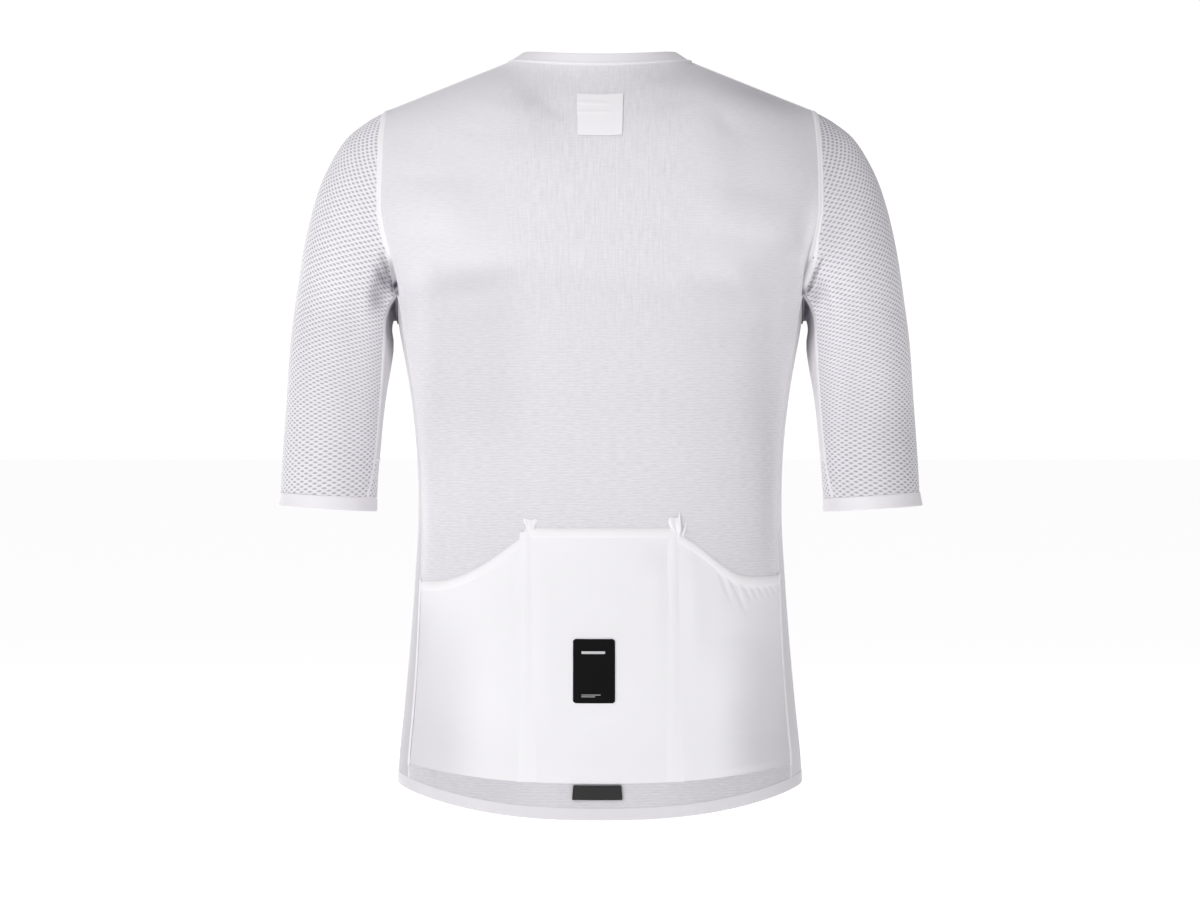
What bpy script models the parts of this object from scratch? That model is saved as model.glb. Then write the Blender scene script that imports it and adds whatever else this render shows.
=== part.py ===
# A short-sleeved cycling jersey, filled out as if worn, with nothing inside it.
# Metres, +Z up. The zip is at -Y, the pockets at +Y, and +X is the wearer's left.
# The origin lies between the tops of the two shoulders' seams, where the wearer carries it.

import bmesh
import bpy
import numpy as np


def table(names, *rows):
    """One array for each named column."""
    return dict(zip(names.split(), np.array(rows, float).T))


# Cloth
WALL = 0.0012
BAND_WALL = 0.0016
BAND_PROUD = 0.0002
SEAM_GAP = 0.0003
LIFT = 0.0006

# Torso: sections from the hem up to the middle of the armhole. Depths are from the side line.
CORNER = 2.4
TORSO = table(
    "height half_width back_depth front_depth",
    (-0.660, 0.1860, 0.1130, 0.0960),
    (-0.600, 0.1845, 0.1140, 0.0985),
    (-0.545, 0.1790, 0.1115, 0.1010),
    (-0.490, 0.1740, 0.1050, 0.1025),
    (-0.435, 0.1700, 0.0970, 0.1025),
    (-0.380, 0.1670, 0.0905, 0.1020),
    (-0.330, 0.1675, 0.0895, 0.1040),
    (-0.270, 0.1730, 0.0940, 0.1090),
    (-0.214, 0.1825, 0.1010, 0.1140),
    (-0.172, 0.1910, 0.1060, 0.1155),
    (-0.144, 0.2040, 0.1085, 0.1150),
    (-0.118, 0.2160, 0.1095, 0.1120),
    (-0.099, 0.2211, 0.1095, 0.1085),
)

# Side seams: how far behind and ahead of the side line each one runs.
SEAMS = table(
    "height behind ahead",
    (-0.660, 0.0515, 0.0480),
    (-0.600, 0.0510, 0.0480),
    (-0.545, 0.0490, 0.0460),
    (-0.435, 0.0370, 0.0400),
    (-0.350, 0.0275, 0.0340),
    (-0.270, 0.0285, 0.0350),
    (-0.214, 0.0320, 0.0385),
    (-0.173, 0.0359, 0.0412),
)

# Hem: heights of its lower edge, and the band along it
HEM_BACK = -0.6447
HEM_SIDE = -0.6185
HEM_FRONT = -0.5920
HEM_BAND = 0.0110

# Armhole: an upright oval between the shoulder and the armpit
SHOULDER_REACH = 0.1965
SHOULDER_HEIGHT = -0.0030
ARMPIT_HEIGHT = -0.1960
SHOULDER_Y = -0.0040
ARMHOLE_BACK = 0.0610
ARMHOLE_FRONT = 0.0570
GUSSET_TURN = 2.4300

# Neck: half width, depths and heights of the seam at the collar's foot and of its top edge
NECK = table(
    "half_width back_depth front_depth back_height side_height front_height",
    (0.0855, 0.0640, 0.0810, 0.0326, 0.0415, -0.0280),
    (0.0705, 0.0600, 0.0743, 0.0447, 0.0512, -0.0113),
)

# Yoke: how steeply the cloth comes up to the neck and to the shoulder, in degrees,
# and the share of its length for which it holds its direction at either end
YOKE_RISE_BACK = 58.0
YOKE_RISE_FRONT = 68.0
YOKE_RISE_SIDE = 6.0
YOKE_HOLD_BELOW = 0.58
YOKE_HOLD_ABOVE = 0.36
YOKE_EASE_COLUMNS = 2

# Sleeve: rings from the armhole to the cuff band, by their outer and inner ends
SLEEVE = table(
    "outer_x outer_z inner_x inner_z half_depth gusset",
    (0.1965, -0.0030, 0.1856, -0.1960, 0.0590, 0.7116),
    (0.2150, -0.0135, 0.1862, -0.1985, 0.0605, 0.6900),
    (0.2346, -0.0300, 0.1868, -0.2005, 0.0618, 0.6700),
    (0.2525, -0.0600, 0.1874, -0.2030, 0.0622, 0.6500),
    (0.2640, -0.0920, 0.1880, -0.2060, 0.0618, 0.6400),
    (0.2727, -0.1300, 0.1886, -0.2110, 0.0605, 0.6200),
    (0.2790, -0.1700, 0.1896, -0.2210, 0.0590, 0.5900),
    (0.2848, -0.2150, 0.1925, -0.2420, 0.0575, 0.5200),
    (0.2885, -0.2680, 0.1970, -0.2720, 0.0560, 0.4300),
    (0.2922, -0.3200, 0.2030, -0.3230, 0.0545, 0.3800),
    (0.2940, -0.3530, 0.2055, -0.3585, 0.0535, 0.5600),
)
ARMHOLE_FADE_RINGS = 4
UNDERARM_RINGS = 9
CUFF = table(
    "outer_x outer_z inner_x inner_z half_depth",
    (0.2944, -0.3536, 0.2055, -0.3591, 0.0536),
    (0.2956, -0.3600, 0.2055, -0.3652, 0.0540),
    (0.2968, -0.3658, 0.2056, -0.3712, 0.0544),
)

# Pockets: heights of the three mouths, from the middle of the back outwards
POCKET_DIVISION = 0.0660
MOUTH_CENTRE = -0.3855
MOUTHS = table(
    "reach left right",
    (0.0660, -0.3895, -0.3865),
    (0.0893, -0.4066, -0.4012),
    (0.1070, -0.4185, -0.4155),
    (0.1240, -0.4270, -0.4262),
    (0.1398, -0.4319, -0.4290),
    (0.1600, -0.4337, -0.4280),
)
MOUTH_BAND = 0.0085
POCKET_FOOT_CENTRE = 0.0327
POCKET_FOOT_SIDE = 0.0212
POCKET_EASE = 0.0022
GATHERS = 7
GATHER_START = 0.1085
GATHER_END = 0.1525
GATHER_LENGTH = 0.0300
GATHER_HEIGHT = 0.0009
GATHER_SLANT = 0.35

# Tacks: the column and the upper edge of each one's cloth
TACK = table(
    "column top",
    (3.30, -0.3795),
    (3.70, -0.3765),
    (4.00, -0.3745),
    (4.15, -0.3755),
)
TACK_FOLD = 0.0012

# What is sewn on: half width, middle, top, foot
NECK_PATCH = (0.0203, 0.0, 0.0050, -0.0336)
POCKET_LABEL = (0.0187, 0.0053, -0.4835, -0.5404)
HEM_TAB = (0.0211, 0.0024, -0.6130, -0.6262)

# Zip
ZIP_EDGE = 0.0065
TAPE_OUTER = 0.0062
TAPE_INNER = 0.0008
TAPE_WALL = 0.0010
SLIDER_BELOW_TOP = 0.0070
SLIDER_LENGTH = 0.0090
SLIDER_HALF_WIDTH = 0.0040
SLIDER_PLATE = 0.0010
SLIDER_WEB = 0.0005
BRIDGE_HALF_LENGTH = 0.0022
BRIDGE_LEG = 0.0008
BRIDGE_TOP = 0.0046
BRIDGE_HALF_WIDTH = 0.0008
PULL_HEIGHT = 0.0027
PULL_LENGTH = 0.0240
PULL_WALL = 0.0013
PULL_RIM = table(
    "reach below",
    (-0.0026, -0.00065),
    (0.0026, -0.00065),
    (0.0026, 0.0050),
    (0.0033, 0.0080),
    (0.0033, 0.0220),
    (0.0021, 0.0240),
    (-0.0021, 0.0240),
    (-0.0033, 0.0220),
    (-0.0033, 0.0080),
    (-0.0026, 0.0050),
)
PULL_EYE = table(
    "reach below",
    (-0.0014, 0.00065),
    (0.0014, 0.00065),
    (0.0014, 0.0026),
    (0.0014, 0.0034),
    (0.0014, 0.0042),
    (0.0004, 0.0046),
    (-0.0004, 0.0046),
    (-0.0014, 0.0042),
    (-0.0014, 0.0034),
    (-0.0014, 0.0026),
)

# Facets
HALF_COLUMNS = 16
NECK_COLUMNS = 7
DIVISION_COLUMN = 4
BODY_ROWS = 12
SIDE_COLUMNS = 6
POCKET_ROWS = 8
BAND_ROWS = 3
FINE_COLUMNS = 3


def smooth(at, known, values):
    """A cubic curve through the known values, read at each place asked for."""
    slopes = np.gradient(values, known)
    at = np.clip(at, known[0], known[-1])
    below = np.clip(np.searchsorted(known, at, side="right") - 1, 0, len(known) - 2)
    step = known[below + 1] - known[below]
    t = (at - known[below]) / step
    start = (1 + 2 * t) * (1 - t) ** 2 * values[below] + t * (1 - t) ** 2 * step * slopes[below]
    end = t**2 * (3 - 2 * t) * values[below + 1] + t**2 * (t - 1) * step * slopes[below + 1]
    return start + end


def points(x, y, z):
    return np.stack(np.broadcast_arrays(x, y, z), -1)


def unit(vectors):
    return vectors / np.linalg.norm(vectors, axis=-1, keepdims=True)


def mirrored(grid):
    return grid * np.array([-1.0, 1.0, 1.0])


def torso(height, turn):
    """The body's surface. The turn is 0 at the middle of the back, half pi at the side, pi in front."""
    width = smooth(height, TORSO["height"], TORSO["half_width"])
    behind = smooth(height, TORSO["height"], TORSO["back_depth"])
    ahead = smooth(height, TORSO["height"], TORSO["front_depth"])
    depth = np.where(np.cos(turn) >= 0, behind, ahead)
    x = width * np.abs(np.sin(turn)) ** (2 / CORNER)
    y = depth * np.sign(np.cos(turn)) * np.abs(np.cos(turn)) ** (2 / CORNER)
    return points(x, y, height)


def turn_at_reach(height, reach):
    width = smooth(height, TORSO["height"], TORSO["half_width"])
    return np.arcsin(np.clip(reach / width, 0, 1) ** (CORNER / 2))


def turn_at_depth(height, y):
    behind = smooth(height, TORSO["height"], TORSO["back_depth"])
    ahead = smooth(height, TORSO["height"], TORSO["front_depth"])
    share = np.abs(y) / np.where(y >= 0, behind, ahead)
    return np.arccos(np.sign(y) * share ** (CORNER / 2))


ARMHOLE_MIDDLE = (SHOULDER_HEIGHT + ARMPIT_HEIGHT) / 2
ARMHOLE_HALF = (SHOULDER_HEIGHT - ARMPIT_HEIGHT) / 2
GUSSET_HEIGHT = ARMHOLE_MIDDLE + ARMHOLE_HALF * np.cos(GUSSET_TURN)


def armhole_y(turn):
    depth = np.where(np.sin(turn) >= 0, ARMHOLE_BACK, ARMHOLE_FRONT)
    return SHOULDER_Y + depth * np.sin(turn)


def armhole(turn):
    """The armhole's seam. The turn is 0 at the shoulder, positive behind, pi at the armpit."""
    height = ARMHOLE_MIDDLE + ARMHOLE_HALF * np.cos(turn)
    y = armhole_y(turn)
    on_body = torso(height, turn_at_depth(height, y))[..., 0]
    middle_y = armhole_y(np.sign(np.sin(turn)) * np.pi / 2)
    middle = torso(ARMHOLE_MIDDLE, turn_at_depth(ARMHOLE_MIDDLE, middle_y))[..., 0]
    on_shoulder = SHOULDER_REACH + (middle - SHOULDER_REACH) * np.abs(np.sin(turn))
    x = np.where(np.cos(turn) < -1e-9, on_body, on_shoulder)
    return points(x, y, height)


def edge_depth(height, side):
    """How far from the side line a panel ends: at its side seam, and above that at the armhole."""
    lift = np.clip((height - ARMHOLE_MIDDLE) / ARMHOLE_HALF, -1, 1)
    reach = ARMHOLE_BACK + SHOULDER_Y if side == "behind" else ARMHOLE_FRONT - SHOULDER_Y
    base = SHOULDER_Y if side == "behind" else -SHOULDER_Y
    at_armhole = base + (reach - base) * np.sqrt(1 - lift**2)
    return np.where(height < GUSSET_HEIGHT, smooth(height, SEAMS["height"], SEAMS[side]), at_armhole)


def across_back(column, height):
    """The turn of a column of the back panel: evenly set out to the pocket division, then to the edge."""
    division = turn_at_reach(height, POCKET_DIVISION)
    edge = turn_at_depth(height, edge_depth(height, "behind"))
    share = (column - DIVISION_COLUMN) / (HALF_COLUMNS - DIVISION_COLUMN)
    inner = turn_at_reach(height, POCKET_DIVISION * np.clip(column / DIVISION_COLUMN, 0, 1))
    return np.where(column <= DIVISION_COLUMN, inner, division + (edge - division) * share)


def across_front(column, height):
    """The turn of a column of a front panel, from the zip to the edge."""
    zipped = np.pi - turn_at_reach(height, ZIP_EDGE)
    edge = turn_at_depth(height, -edge_depth(height, "ahead"))
    return zipped + (edge - zipped) * column / HALF_COLUMNS


def hem_height(turn):
    drop = np.where(np.cos(turn) >= 0, HEM_BACK - HEM_SIDE, HEM_FRONT - HEM_SIDE)
    return HEM_SIDE + drop * np.cos(turn) ** 2


def neck(turn, level):
    """The neck's loops: level 0 is the collar's seam, level 1 its top edge. Turn 0 is behind."""
    size = {name: column[0] + (column[1] - column[0]) * level for name, column in NECK.items()}
    behind = np.cos(turn) >= 0
    depth = np.where(behind, size["back_depth"], size["front_depth"])
    end = np.where(behind, size["back_height"], size["front_height"])
    height = size["side_height"] + (end - size["side_height"]) * np.cos(turn) ** 2
    return points(size["half_width"] * np.sin(turn), SHOULDER_Y + depth * np.cos(turn), height)


NECK_ZIP_TURN = np.pi - np.arcsin(ZIP_EDGE / NECK["half_width"][0])
UPPER_TURNS = np.linspace(np.pi / 2, 0, 7)
LOWER_TURNS = np.linspace(GUSSET_TURN, np.pi / 2, 4)
ARMHOLE_TURNS = np.concatenate([LOWER_TURNS, UPPER_TURNS[1:]])


def top_edge(front):
    """Along the neck to its side, then along the shoulder to the armhole."""
    first = NECK_ZIP_TURN if front else 0.0
    round_neck = neck(np.linspace(first, np.pi / 2, NECK_COLUMNS + 1), 0)
    share = np.linspace(0, 1, HALF_COLUMNS - NECK_COLUMNS + 1)[1:, None]
    shoulder = round_neck[-1] + (armhole(0.0) - round_neck[-1]) * share
    return np.concatenate([round_neck, shoulder])


def yoke(start, below, front):
    """From the armhole's middle up over the shoulder, by a curve for each column."""
    end = top_edge(front)
    span = np.linalg.norm(end - start, axis=-1, keepdims=True)
    steep = np.radians(YOKE_RISE_FRONT if front else YOKE_RISE_BACK)
    flat = np.radians(YOKE_RISE_SIDE)
    share = np.clip(np.arange(HALF_COLUMNS + 1) / (NECK_COLUMNS + YOKE_EASE_COLUMNS), 0, 1)
    rise = flat + (steep - flat) * np.cos(share * np.pi / 2) ** 2
    forward = 1.0 if front else -1.0
    leave = unit((start - below) * np.array([0.0, 1.0, 1.0]))
    arrive = points(0.0, forward * np.cos(rise), np.sin(rise))
    first = start + leave * span * YOKE_HOLD_BELOW
    second = end - arrive * span * YOKE_HOLD_ABOVE
    t = (1 - UPPER_TURNS / (np.pi / 2))[1:, None, None]
    rows = (1 - t) ** 3 * start + 3 * t * (1 - t) ** 2 * first + 3 * t**2 * (1 - t) * second + t**3 * end
    side = -1.0 if front else 1.0
    off = armhole(side * UPPER_TURNS[1:]) - rows[:, -1]
    pull = (np.arange(HALF_COLUMNS + 1) / HALF_COLUMNS) ** 6
    return rows + off[:, None, :] * pull[None, :, None]


def half_panel(front):
    """A grid from the hem band up to the neck and the shoulder, and from the middle to the side."""
    column = np.arange(HALF_COLUMNS + 1.0)[None, :]
    across = across_front if front else across_back
    foot = hem_height(across(column, HEM_SIDE)) + HEM_BAND
    rise = np.linspace(0, 1, BODY_ROWS + 1)[:, None]
    lower = foot + (GUSSET_HEIGHT - foot) * rise
    middle = ARMHOLE_MIDDLE + ARMHOLE_HALF * np.cos(LOWER_TURNS[1:])[:, None]
    height = np.concatenate([lower, middle + 0 * column])
    body = torso(height, across(column, height))
    return np.concatenate([body, yoke(body[-1], body[-2], front)])


def side_panel():
    """From the back's seam round to the front's, up to the foot of the armhole."""
    share = np.linspace(0, 1, SIDE_COLUMNS + 1)[None, :]
    rise = np.linspace(0, 1, BODY_ROWS + 1)[:, None]
    top = armhole(GUSSET_TURN + (2 * np.pi - 2 * GUSSET_TURN) * share)
    behind = across_back(HALF_COLUMNS, HEM_SIDE)
    ahead = across_front(HALF_COLUMNS, HEM_SIDE)
    foot = hem_height(behind + (ahead - behind) * share) + HEM_BAND
    height = foot + (top[..., 2] - foot) * rise
    level = foot[0, 0] + (GUSSET_HEIGHT - foot[0, 0]) * rise
    level_ahead = foot[0, -1] + (GUSSET_HEIGHT - foot[0, -1]) * rise
    first = edge_depth(level, "behind")
    last = -edge_depth(level_ahead, "ahead")
    even = first + (last - first) * share
    near_top = np.clip((rise - 0.6) / 0.4, 0, 1) ** 2
    y = even + (top[..., 1] - even[-1]) * near_top
    return torso(height, turn_at_depth(height, y))


def ring(row, turn, sizes):
    """One loop of the sleeve, as an oval between its outer and inner ends."""
    size = {name: column[row] for name, column in sizes.items()}
    x = (size["outer_x"] + size["inner_x"]) / 2 + (size["outer_x"] - size["inner_x"]) / 2 * np.cos(turn)
    z = (size["outer_z"] + size["inner_z"]) / 2 + (size["outer_z"] - size["inner_z"]) / 2 * np.cos(turn)
    return points(x, SHOULDER_Y + size["half_depth"] * np.sin(turn), z)


def sleeve_rings(first, last, turns_of):
    """Rows of the sleeve. Near the armhole they keep its form, and they let go of it ring by ring."""
    rows = []
    at_armhole = turns_of(0)
    form = armhole(at_armhole) - ring(0, at_armhole, SLEEVE)
    for row in range(first, last + 1):
        kept = np.clip(1 - row / ARMHOLE_FADE_RINGS, 0, 1)
        rows.append(ring(row, turns_of(row), SLEEVE) + form * kept**1.5)
    return np.array(rows)


def cap_turns(row):
    """Front edge, over the shoulder, back edge."""
    one_side = ARMHOLE_TURNS[::-1] * (np.pi - SLEEVE["gusset"][row]) / GUSSET_TURN
    return np.concatenate([-one_side[::-1], one_side[1:]])


def gusset_turns(row):
    edge = np.pi - SLEEVE["gusset"][row]
    return np.linspace(edge, 2 * np.pi - edge, SIDE_COLUMNS + 1)


def normals_of(grid, centre, closed=False):
    """Unit normals of a grid, facing away from the centre line it goes round."""
    if closed:
        along = np.roll(grid, -1, 1) - np.roll(grid, 1, 1)
    else:
        along = np.gradient(grid, axis=1)
    up = np.gradient(grid, axis=0)
    normal = unit(np.cross(along, up))
    outward = (normal * (grid - centre)).sum()
    return normal if outward > 0 else -normal


def agree(*shared):
    """Gives the edges that meet at a seam one normal."""
    mean = unit(sum(shared))
    for edge in shared:
        edge[...] = mean


def trimmed(grid, rows=(True, True), columns=(True, True), by=SEAM_GAP / 2):
    """Draws the chosen edges back along the cloth, by half of a seam's gap."""
    out = grid.copy()
    if columns[0]:
        out[:, 0] += unit(out[:, 1] - out[:, 0]) * by
    if columns[1]:
        out[:, -1] += unit(out[:, -2] - out[:, -1]) * by
    if rows[0]:
        out[0] += unit(out[1] - out[0]) * by
    if rows[1]:
        out[-1] += unit(out[-2] - out[-1]) * by
    return out


def material(name, colour, roughness, metallic=0.0):
    made = bpy.data.materials.new(name)
    made.use_nodes = True
    shader = made.node_tree.nodes["Principled BSDF"]
    shader.inputs["Base Color"].default_value = (*colour, 1.0)
    shader.inputs["Roughness"].default_value = roughness
    shader.inputs["Metallic"].default_value = metallic
    made.diffuse_color = (*colour, 1.0)
    return made


def add_object(name, mesh, look):
    """Makes the object, with its faces turned outwards."""
    form = bmesh.new()
    form.from_mesh(mesh)
    bmesh.ops.recalc_face_normals(form, faces=form.faces)
    form.to_mesh(mesh)
    form.free()
    mesh.shade_smooth()
    mesh.set_sharp_from_angle(angle=np.radians(50))
    mesh.materials.append(material(name, *look))
    made = bpy.data.objects.new(name, mesh)
    bpy.context.scene.collection.objects.link(made)
    return made


def grid_faces(index, closed):
    """Quads between neighbouring rows and columns of a grid of vertex numbers."""
    if closed:
        index = np.concatenate([index, index[:, :1]], axis=1)
    corners = (index[:-1, :-1], index[:-1, 1:], index[1:, 1:], index[1:, :-1])
    return np.stack(corners, -1).reshape(-1, 4)


def wall(name, outer, normal, thickness, look, closed=False):
    """A sheet of cloth: the outer grid, the same grid moved in, and strips along the edges."""
    rows, columns = outer.shape[:2]
    inner = outer - normal * thickness
    index = np.arange(rows * columns).reshape(rows, columns)
    behind = index + rows * columns
    faces = [grid_faces(index, closed), grid_faces(behind, closed)[:, ::-1]]
    edges = [(0, slice(None)), (-1, slice(None))]
    if not closed:
        edges += [(slice(None), 0), (slice(None), -1)]
    for edge in edges:
        faces.append(grid_faces(np.stack([index[edge], behind[edge]]), closed and edge[0] in (0, -1)))
    mesh = bpy.data.meshes.new(name)
    vertices = np.concatenate([outer.reshape(-1, 3), inner.reshape(-1, 3)])
    mesh.from_pydata(vertices.tolist(), [], np.concatenate(faces).tolist())
    return add_object(name, mesh, look)


def on_panel(grid, normal, column, height):
    """Points and normals on a panel's own facets, at a column number and a height."""
    column, height = np.broadcast_arrays(column, height)
    low = np.clip(np.floor(column).astype(int), 0, grid.shape[1] - 2)
    share = (column - low)[..., None]
    found = []
    for data in (grid, normal):
        ends = []
        for step in (0, 1):
            read = [
                [np.interp(z, grid[:, c, 2], data[:, c, axis]) for axis in range(3)]
                for z, c in zip(height.ravel(), (low + step).ravel())
            ]
            ends.append(np.array(read).reshape(height.shape + (3,)))
        found.append(ends[0] + (ends[1] - ends[0]) * share)
    return found[0], unit(found[1])


# Surfaces and colours: red, green, blue, then roughness
KNIT = ((0.72, 0.70, 0.74), 0.75)
MESH_KNIT = ((0.80, 0.79, 0.82), 0.75)
SMOOTH_KNIT = ((0.66, 0.65, 0.68), 0.70)
WHITE_KNIT = ((0.88, 0.87, 0.90), 0.65)
WHITE_BAND = ((0.86, 0.85, 0.88), 0.60)
PATCH_FILM = ((0.85, 0.84, 0.86), 0.50)
LABEL_BLACK = ((0.011, 0.011, 0.011), 0.55)
TAB_GREY = ((0.040, 0.038, 0.040), 0.70)
TAPE_WHITE = ((0.80, 0.80, 0.82), 0.70)
ZIP_METAL = ((0.62, 0.62, 0.64), 0.35, 1.0)


def remove_everything():
    for old in list(bpy.data.objects):
        bpy.data.objects.remove(old, do_unlink=True)


def axis_of(grid):
    """The upright line that a part of the body goes round."""
    return grid * np.array([0.0, 0.0, 1.0])


def sleeve_axis(grid):
    """The line down the middle of a sleeve, for the rows of a grid on it."""
    count = len(grid)
    middle_x = (SLEEVE["outer_x"] + SLEEVE["inner_x"])[-count:] / 2
    middle_z = (SLEEVE["outer_z"] + SLEEVE["inner_z"])[-count:] / 2
    return points(middle_x[:, None], SHOULDER_Y, middle_z[:, None])


def build_body():
    """The back, the fronts, the sides and the sleeves, which meet along shared seams."""
    back_half = half_panel(front=False)
    back = np.concatenate([mirrored(back_half)[:, :0:-1], back_half], axis=1)
    front = half_panel(front=True)
    side = side_panel()
    collar = collar_grid()
    cap = sleeve_rings(0, len(SLEEVE["gusset"]) - 1, cap_turns)
    underarm = sleeve_rings(0, UNDERARM_RINGS, gusset_turns)
    gusset = sleeve_rings(UNDERARM_RINGS, len(SLEEVE["gusset"]) - 1, gusset_turns)

    back_normal = normals_of(back, axis_of(back))
    front_normal = normals_of(front, axis_of(front))
    side_normal = normals_of(side, axis_of(side))
    collar_normal = normals_of(collar, axis_of(collar))
    cap_normal = normals_of(cap, sleeve_axis(cap))
    underarm_normal = normals_of(underarm, sleeve_axis(cap)[: UNDERARM_RINGS + 1])
    gusset_normal = normals_of(gusset, sleeve_axis(gusset))

    above = BODY_ROWS
    half = len(ARMHOLE_TURNS) - 1
    shoulder = HALF_COLUMNS + NECK_COLUMNS
    back_edge = back_normal[above:, -1]
    front_edge = front_normal[above:, -1]
    agree(back_edge, cap_normal[0, half:][::-1])
    agree(front_edge, cap_normal[0, : half + 1])
    middle = 2 * NECK_COLUMNS
    neck_side = middle + NECK_COLUMNS
    agree(back_normal[-1, shoulder + 1 :], front_normal[-1, NECK_COLUMNS + 1 :])
    agree(back_normal[-1, shoulder], front_normal[-1, NECK_COLUMNS], collar_normal[0, neck_side])
    agree(back_normal[-1, HALF_COLUMNS:shoulder], collar_normal[0, middle:neck_side])
    agree(front_normal[-1, :NECK_COLUMNS], collar_normal[0, :neck_side:-1])
    agree(side_normal[-1], underarm_normal[0])
    agree(side_normal[:, 0], back_normal[: above + 1, -1])
    agree(side_normal[:, -1], front_normal[: above + 1, -1])
    agree(underarm_normal[:, 0], cap_normal[: UNDERARM_RINGS + 1, -1])
    agree(underarm_normal[:, -1], cap_normal[: UNDERARM_RINGS + 1, 0])
    back_normal[:, :HALF_COLUMNS] = mirrored(back_normal[:, :HALF_COLUMNS:-1])
    collar_normal[:, :middle] = mirrored(collar_normal[:, :middle:-1])

    wall("back_panel", trimmed(back), back_normal, WALL, KNIT)
    wall("collar", trimmed(collar, rows=(True, False)), collar_normal, BAND_WALL, WHITE_BAND)
    for name, flip in (("left", False), ("right", True)):
        turned = mirrored if flip else np.copy
        wall(f"front_{name}", turned(trimmed(front)), turned(front_normal), WALL, KNIT)
        wall(f"side_{name}", turned(trimmed(side)), turned(side_normal), WALL, SMOOTH_KNIT)
        wall(f"sleeve_{name}", turned(trimmed(cap)), turned(cap_normal), WALL, MESH_KNIT)
        wall(f"underarm_{name}", turned(trimmed(underarm)), turned(underarm_normal), WALL, SMOOTH_KNIT)
        wall(f"cuff_gusset_{name}", turned(trimmed(gusset)), turned(gusset_normal), WALL, MESH_KNIT)
    return back, back_normal, front


def build_cuffs():
    last = len(SLEEVE["gusset"]) - 1
    turns = np.concatenate([cap_turns(last), gusset_turns(last)[1:-1]])
    grid = np.array([ring(row, turns, CUFF) for row in range(len(CUFF["outer_x"]))])
    centre = grid.mean(axis=1, keepdims=True)
    normal = normals_of(grid, centre, closed=True)
    grid = grid + normal * BAND_PROUD
    wall("cuff_left", grid, normal, BAND_WALL, WHITE_BAND, closed=True)
    wall("cuff_right", mirrored(grid), mirrored(normal), BAND_WALL, WHITE_BAND, closed=True)


def build_hem():
    """The band from one side of the zip, round the back, to the other."""
    column = np.arange(HALF_COLUMNS + 1.0)
    share = np.linspace(0, 1, SIDE_COLUMNS + 1)
    front = across_front(column, HEM_SIDE)
    back = across_back(column, HEM_SIDE)
    first = edge_depth(HEM_SIDE, "behind")
    last = -edge_depth(HEM_SIDE, "ahead")
    side = turn_at_depth(HEM_SIDE, last + (first - last) * share)
    turns = np.concatenate([front, side[1:-1], back[::-1]])
    foot = hem_height(turns)
    top = torso(foot + HEM_BAND - SEAM_GAP / 2, turns)
    half = np.array([torso(foot, turns), (torso(foot, turns) + top) / 2, top])
    grid = np.concatenate([half, mirrored(half)[:, -2::-1]], axis=1)
    grid = trimmed(grid, rows=(False, False))
    normal = normals_of(grid, axis_of(grid))
    wall("hem_band", grid + normal * BAND_PROUD, normal, BAND_WALL, WHITE_BAND)


def collar_grid():
    """The collar's rows, from the seam up, and from one side of the zip round to the other."""
    behind = np.linspace(0, np.pi / 2, NECK_COLUMNS + 1)
    ahead = np.linspace(np.pi / 2, NECK_ZIP_TURN, NECK_COLUMNS + 1)
    turns = np.concatenate([behind, ahead[1:]])
    half = np.array([neck(turns, level) for level in (0.0, 0.5, 1.0)])
    half[:, -1, 0] = ZIP_EDGE
    return np.concatenate([mirrored(half)[:, :0:-1], half], axis=1)


def mouth_height(column, left):
    """Height of a side pocket's upper edge above a column of the back panel."""
    mouth = MOUTHS["left"] if left else MOUTHS["right"]
    reach = torso(mouth.mean(), across_back(column, mouth.mean()))[..., 0]
    return smooth(reach, MOUTHS["reach"], mouth)


def pocket_foot(column):
    turn = across_back(column, HEM_SIDE)
    gap = POCKET_FOOT_SIDE + (POCKET_FOOT_CENTRE - POCKET_FOOT_SIDE) * np.cos(turn) ** 2
    return hem_height(turn) + gap


def gathers(reach, below_mouth):
    """Small slanting ridges under a mouth band, which fade out downwards."""
    along = (reach + GATHER_SLANT * below_mouth - GATHER_START) / (GATHER_END - GATHER_START)
    wave = np.sin(np.clip(along, 0, 1) * GATHERS * np.pi) ** 2
    fade = np.clip(1 - below_mouth / GATHER_LENGTH, 0, 1)
    return GATHER_HEIGHT * wave * fade


def build_pocket(name, back, normal, columns, tops, gathered):
    """A pocket panel and the band along its mouth, lying on the back panel."""
    reach_share = (columns - columns[0]) / (columns[-1] - columns[0])
    foot = pocket_foot(np.abs(columns))
    split = tops - MOUTH_BAND
    rise = np.linspace(0, 1, POCKET_ROWS)[:, None]
    height = foot + (split - foot) * rise
    here, facing = on_panel(back, normal, columns + HALF_COLUMNS, height)
    ease = POCKET_EASE * np.sin(np.pi * reach_share) * rise**2
    if gathered:
        ease = ease + gathers(np.abs(here[..., 0]), split - height)
    panel = here + facing * (LIFT + WALL + ease)[..., None]
    panel = trimmed(panel, rows=(False, True))
    wall(f"pocket_{name}", panel, facing, WALL, WHITE_KNIT)
    height = split + (tops - split) * np.linspace(0, 1, BAND_ROWS)[:, None]
    here, facing = on_panel(back, normal, columns + HALF_COLUMNS, height)
    ease = POCKET_EASE * np.sin(np.pi * reach_share) + 0 * height
    band = here + facing * (LIFT + BAND_WALL + ease)[..., None]
    band = trimmed(band, rows=(True, False))
    wall(f"pocket_band_{name}", band, facing, BAND_WALL, WHITE_BAND)
    return panel


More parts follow.
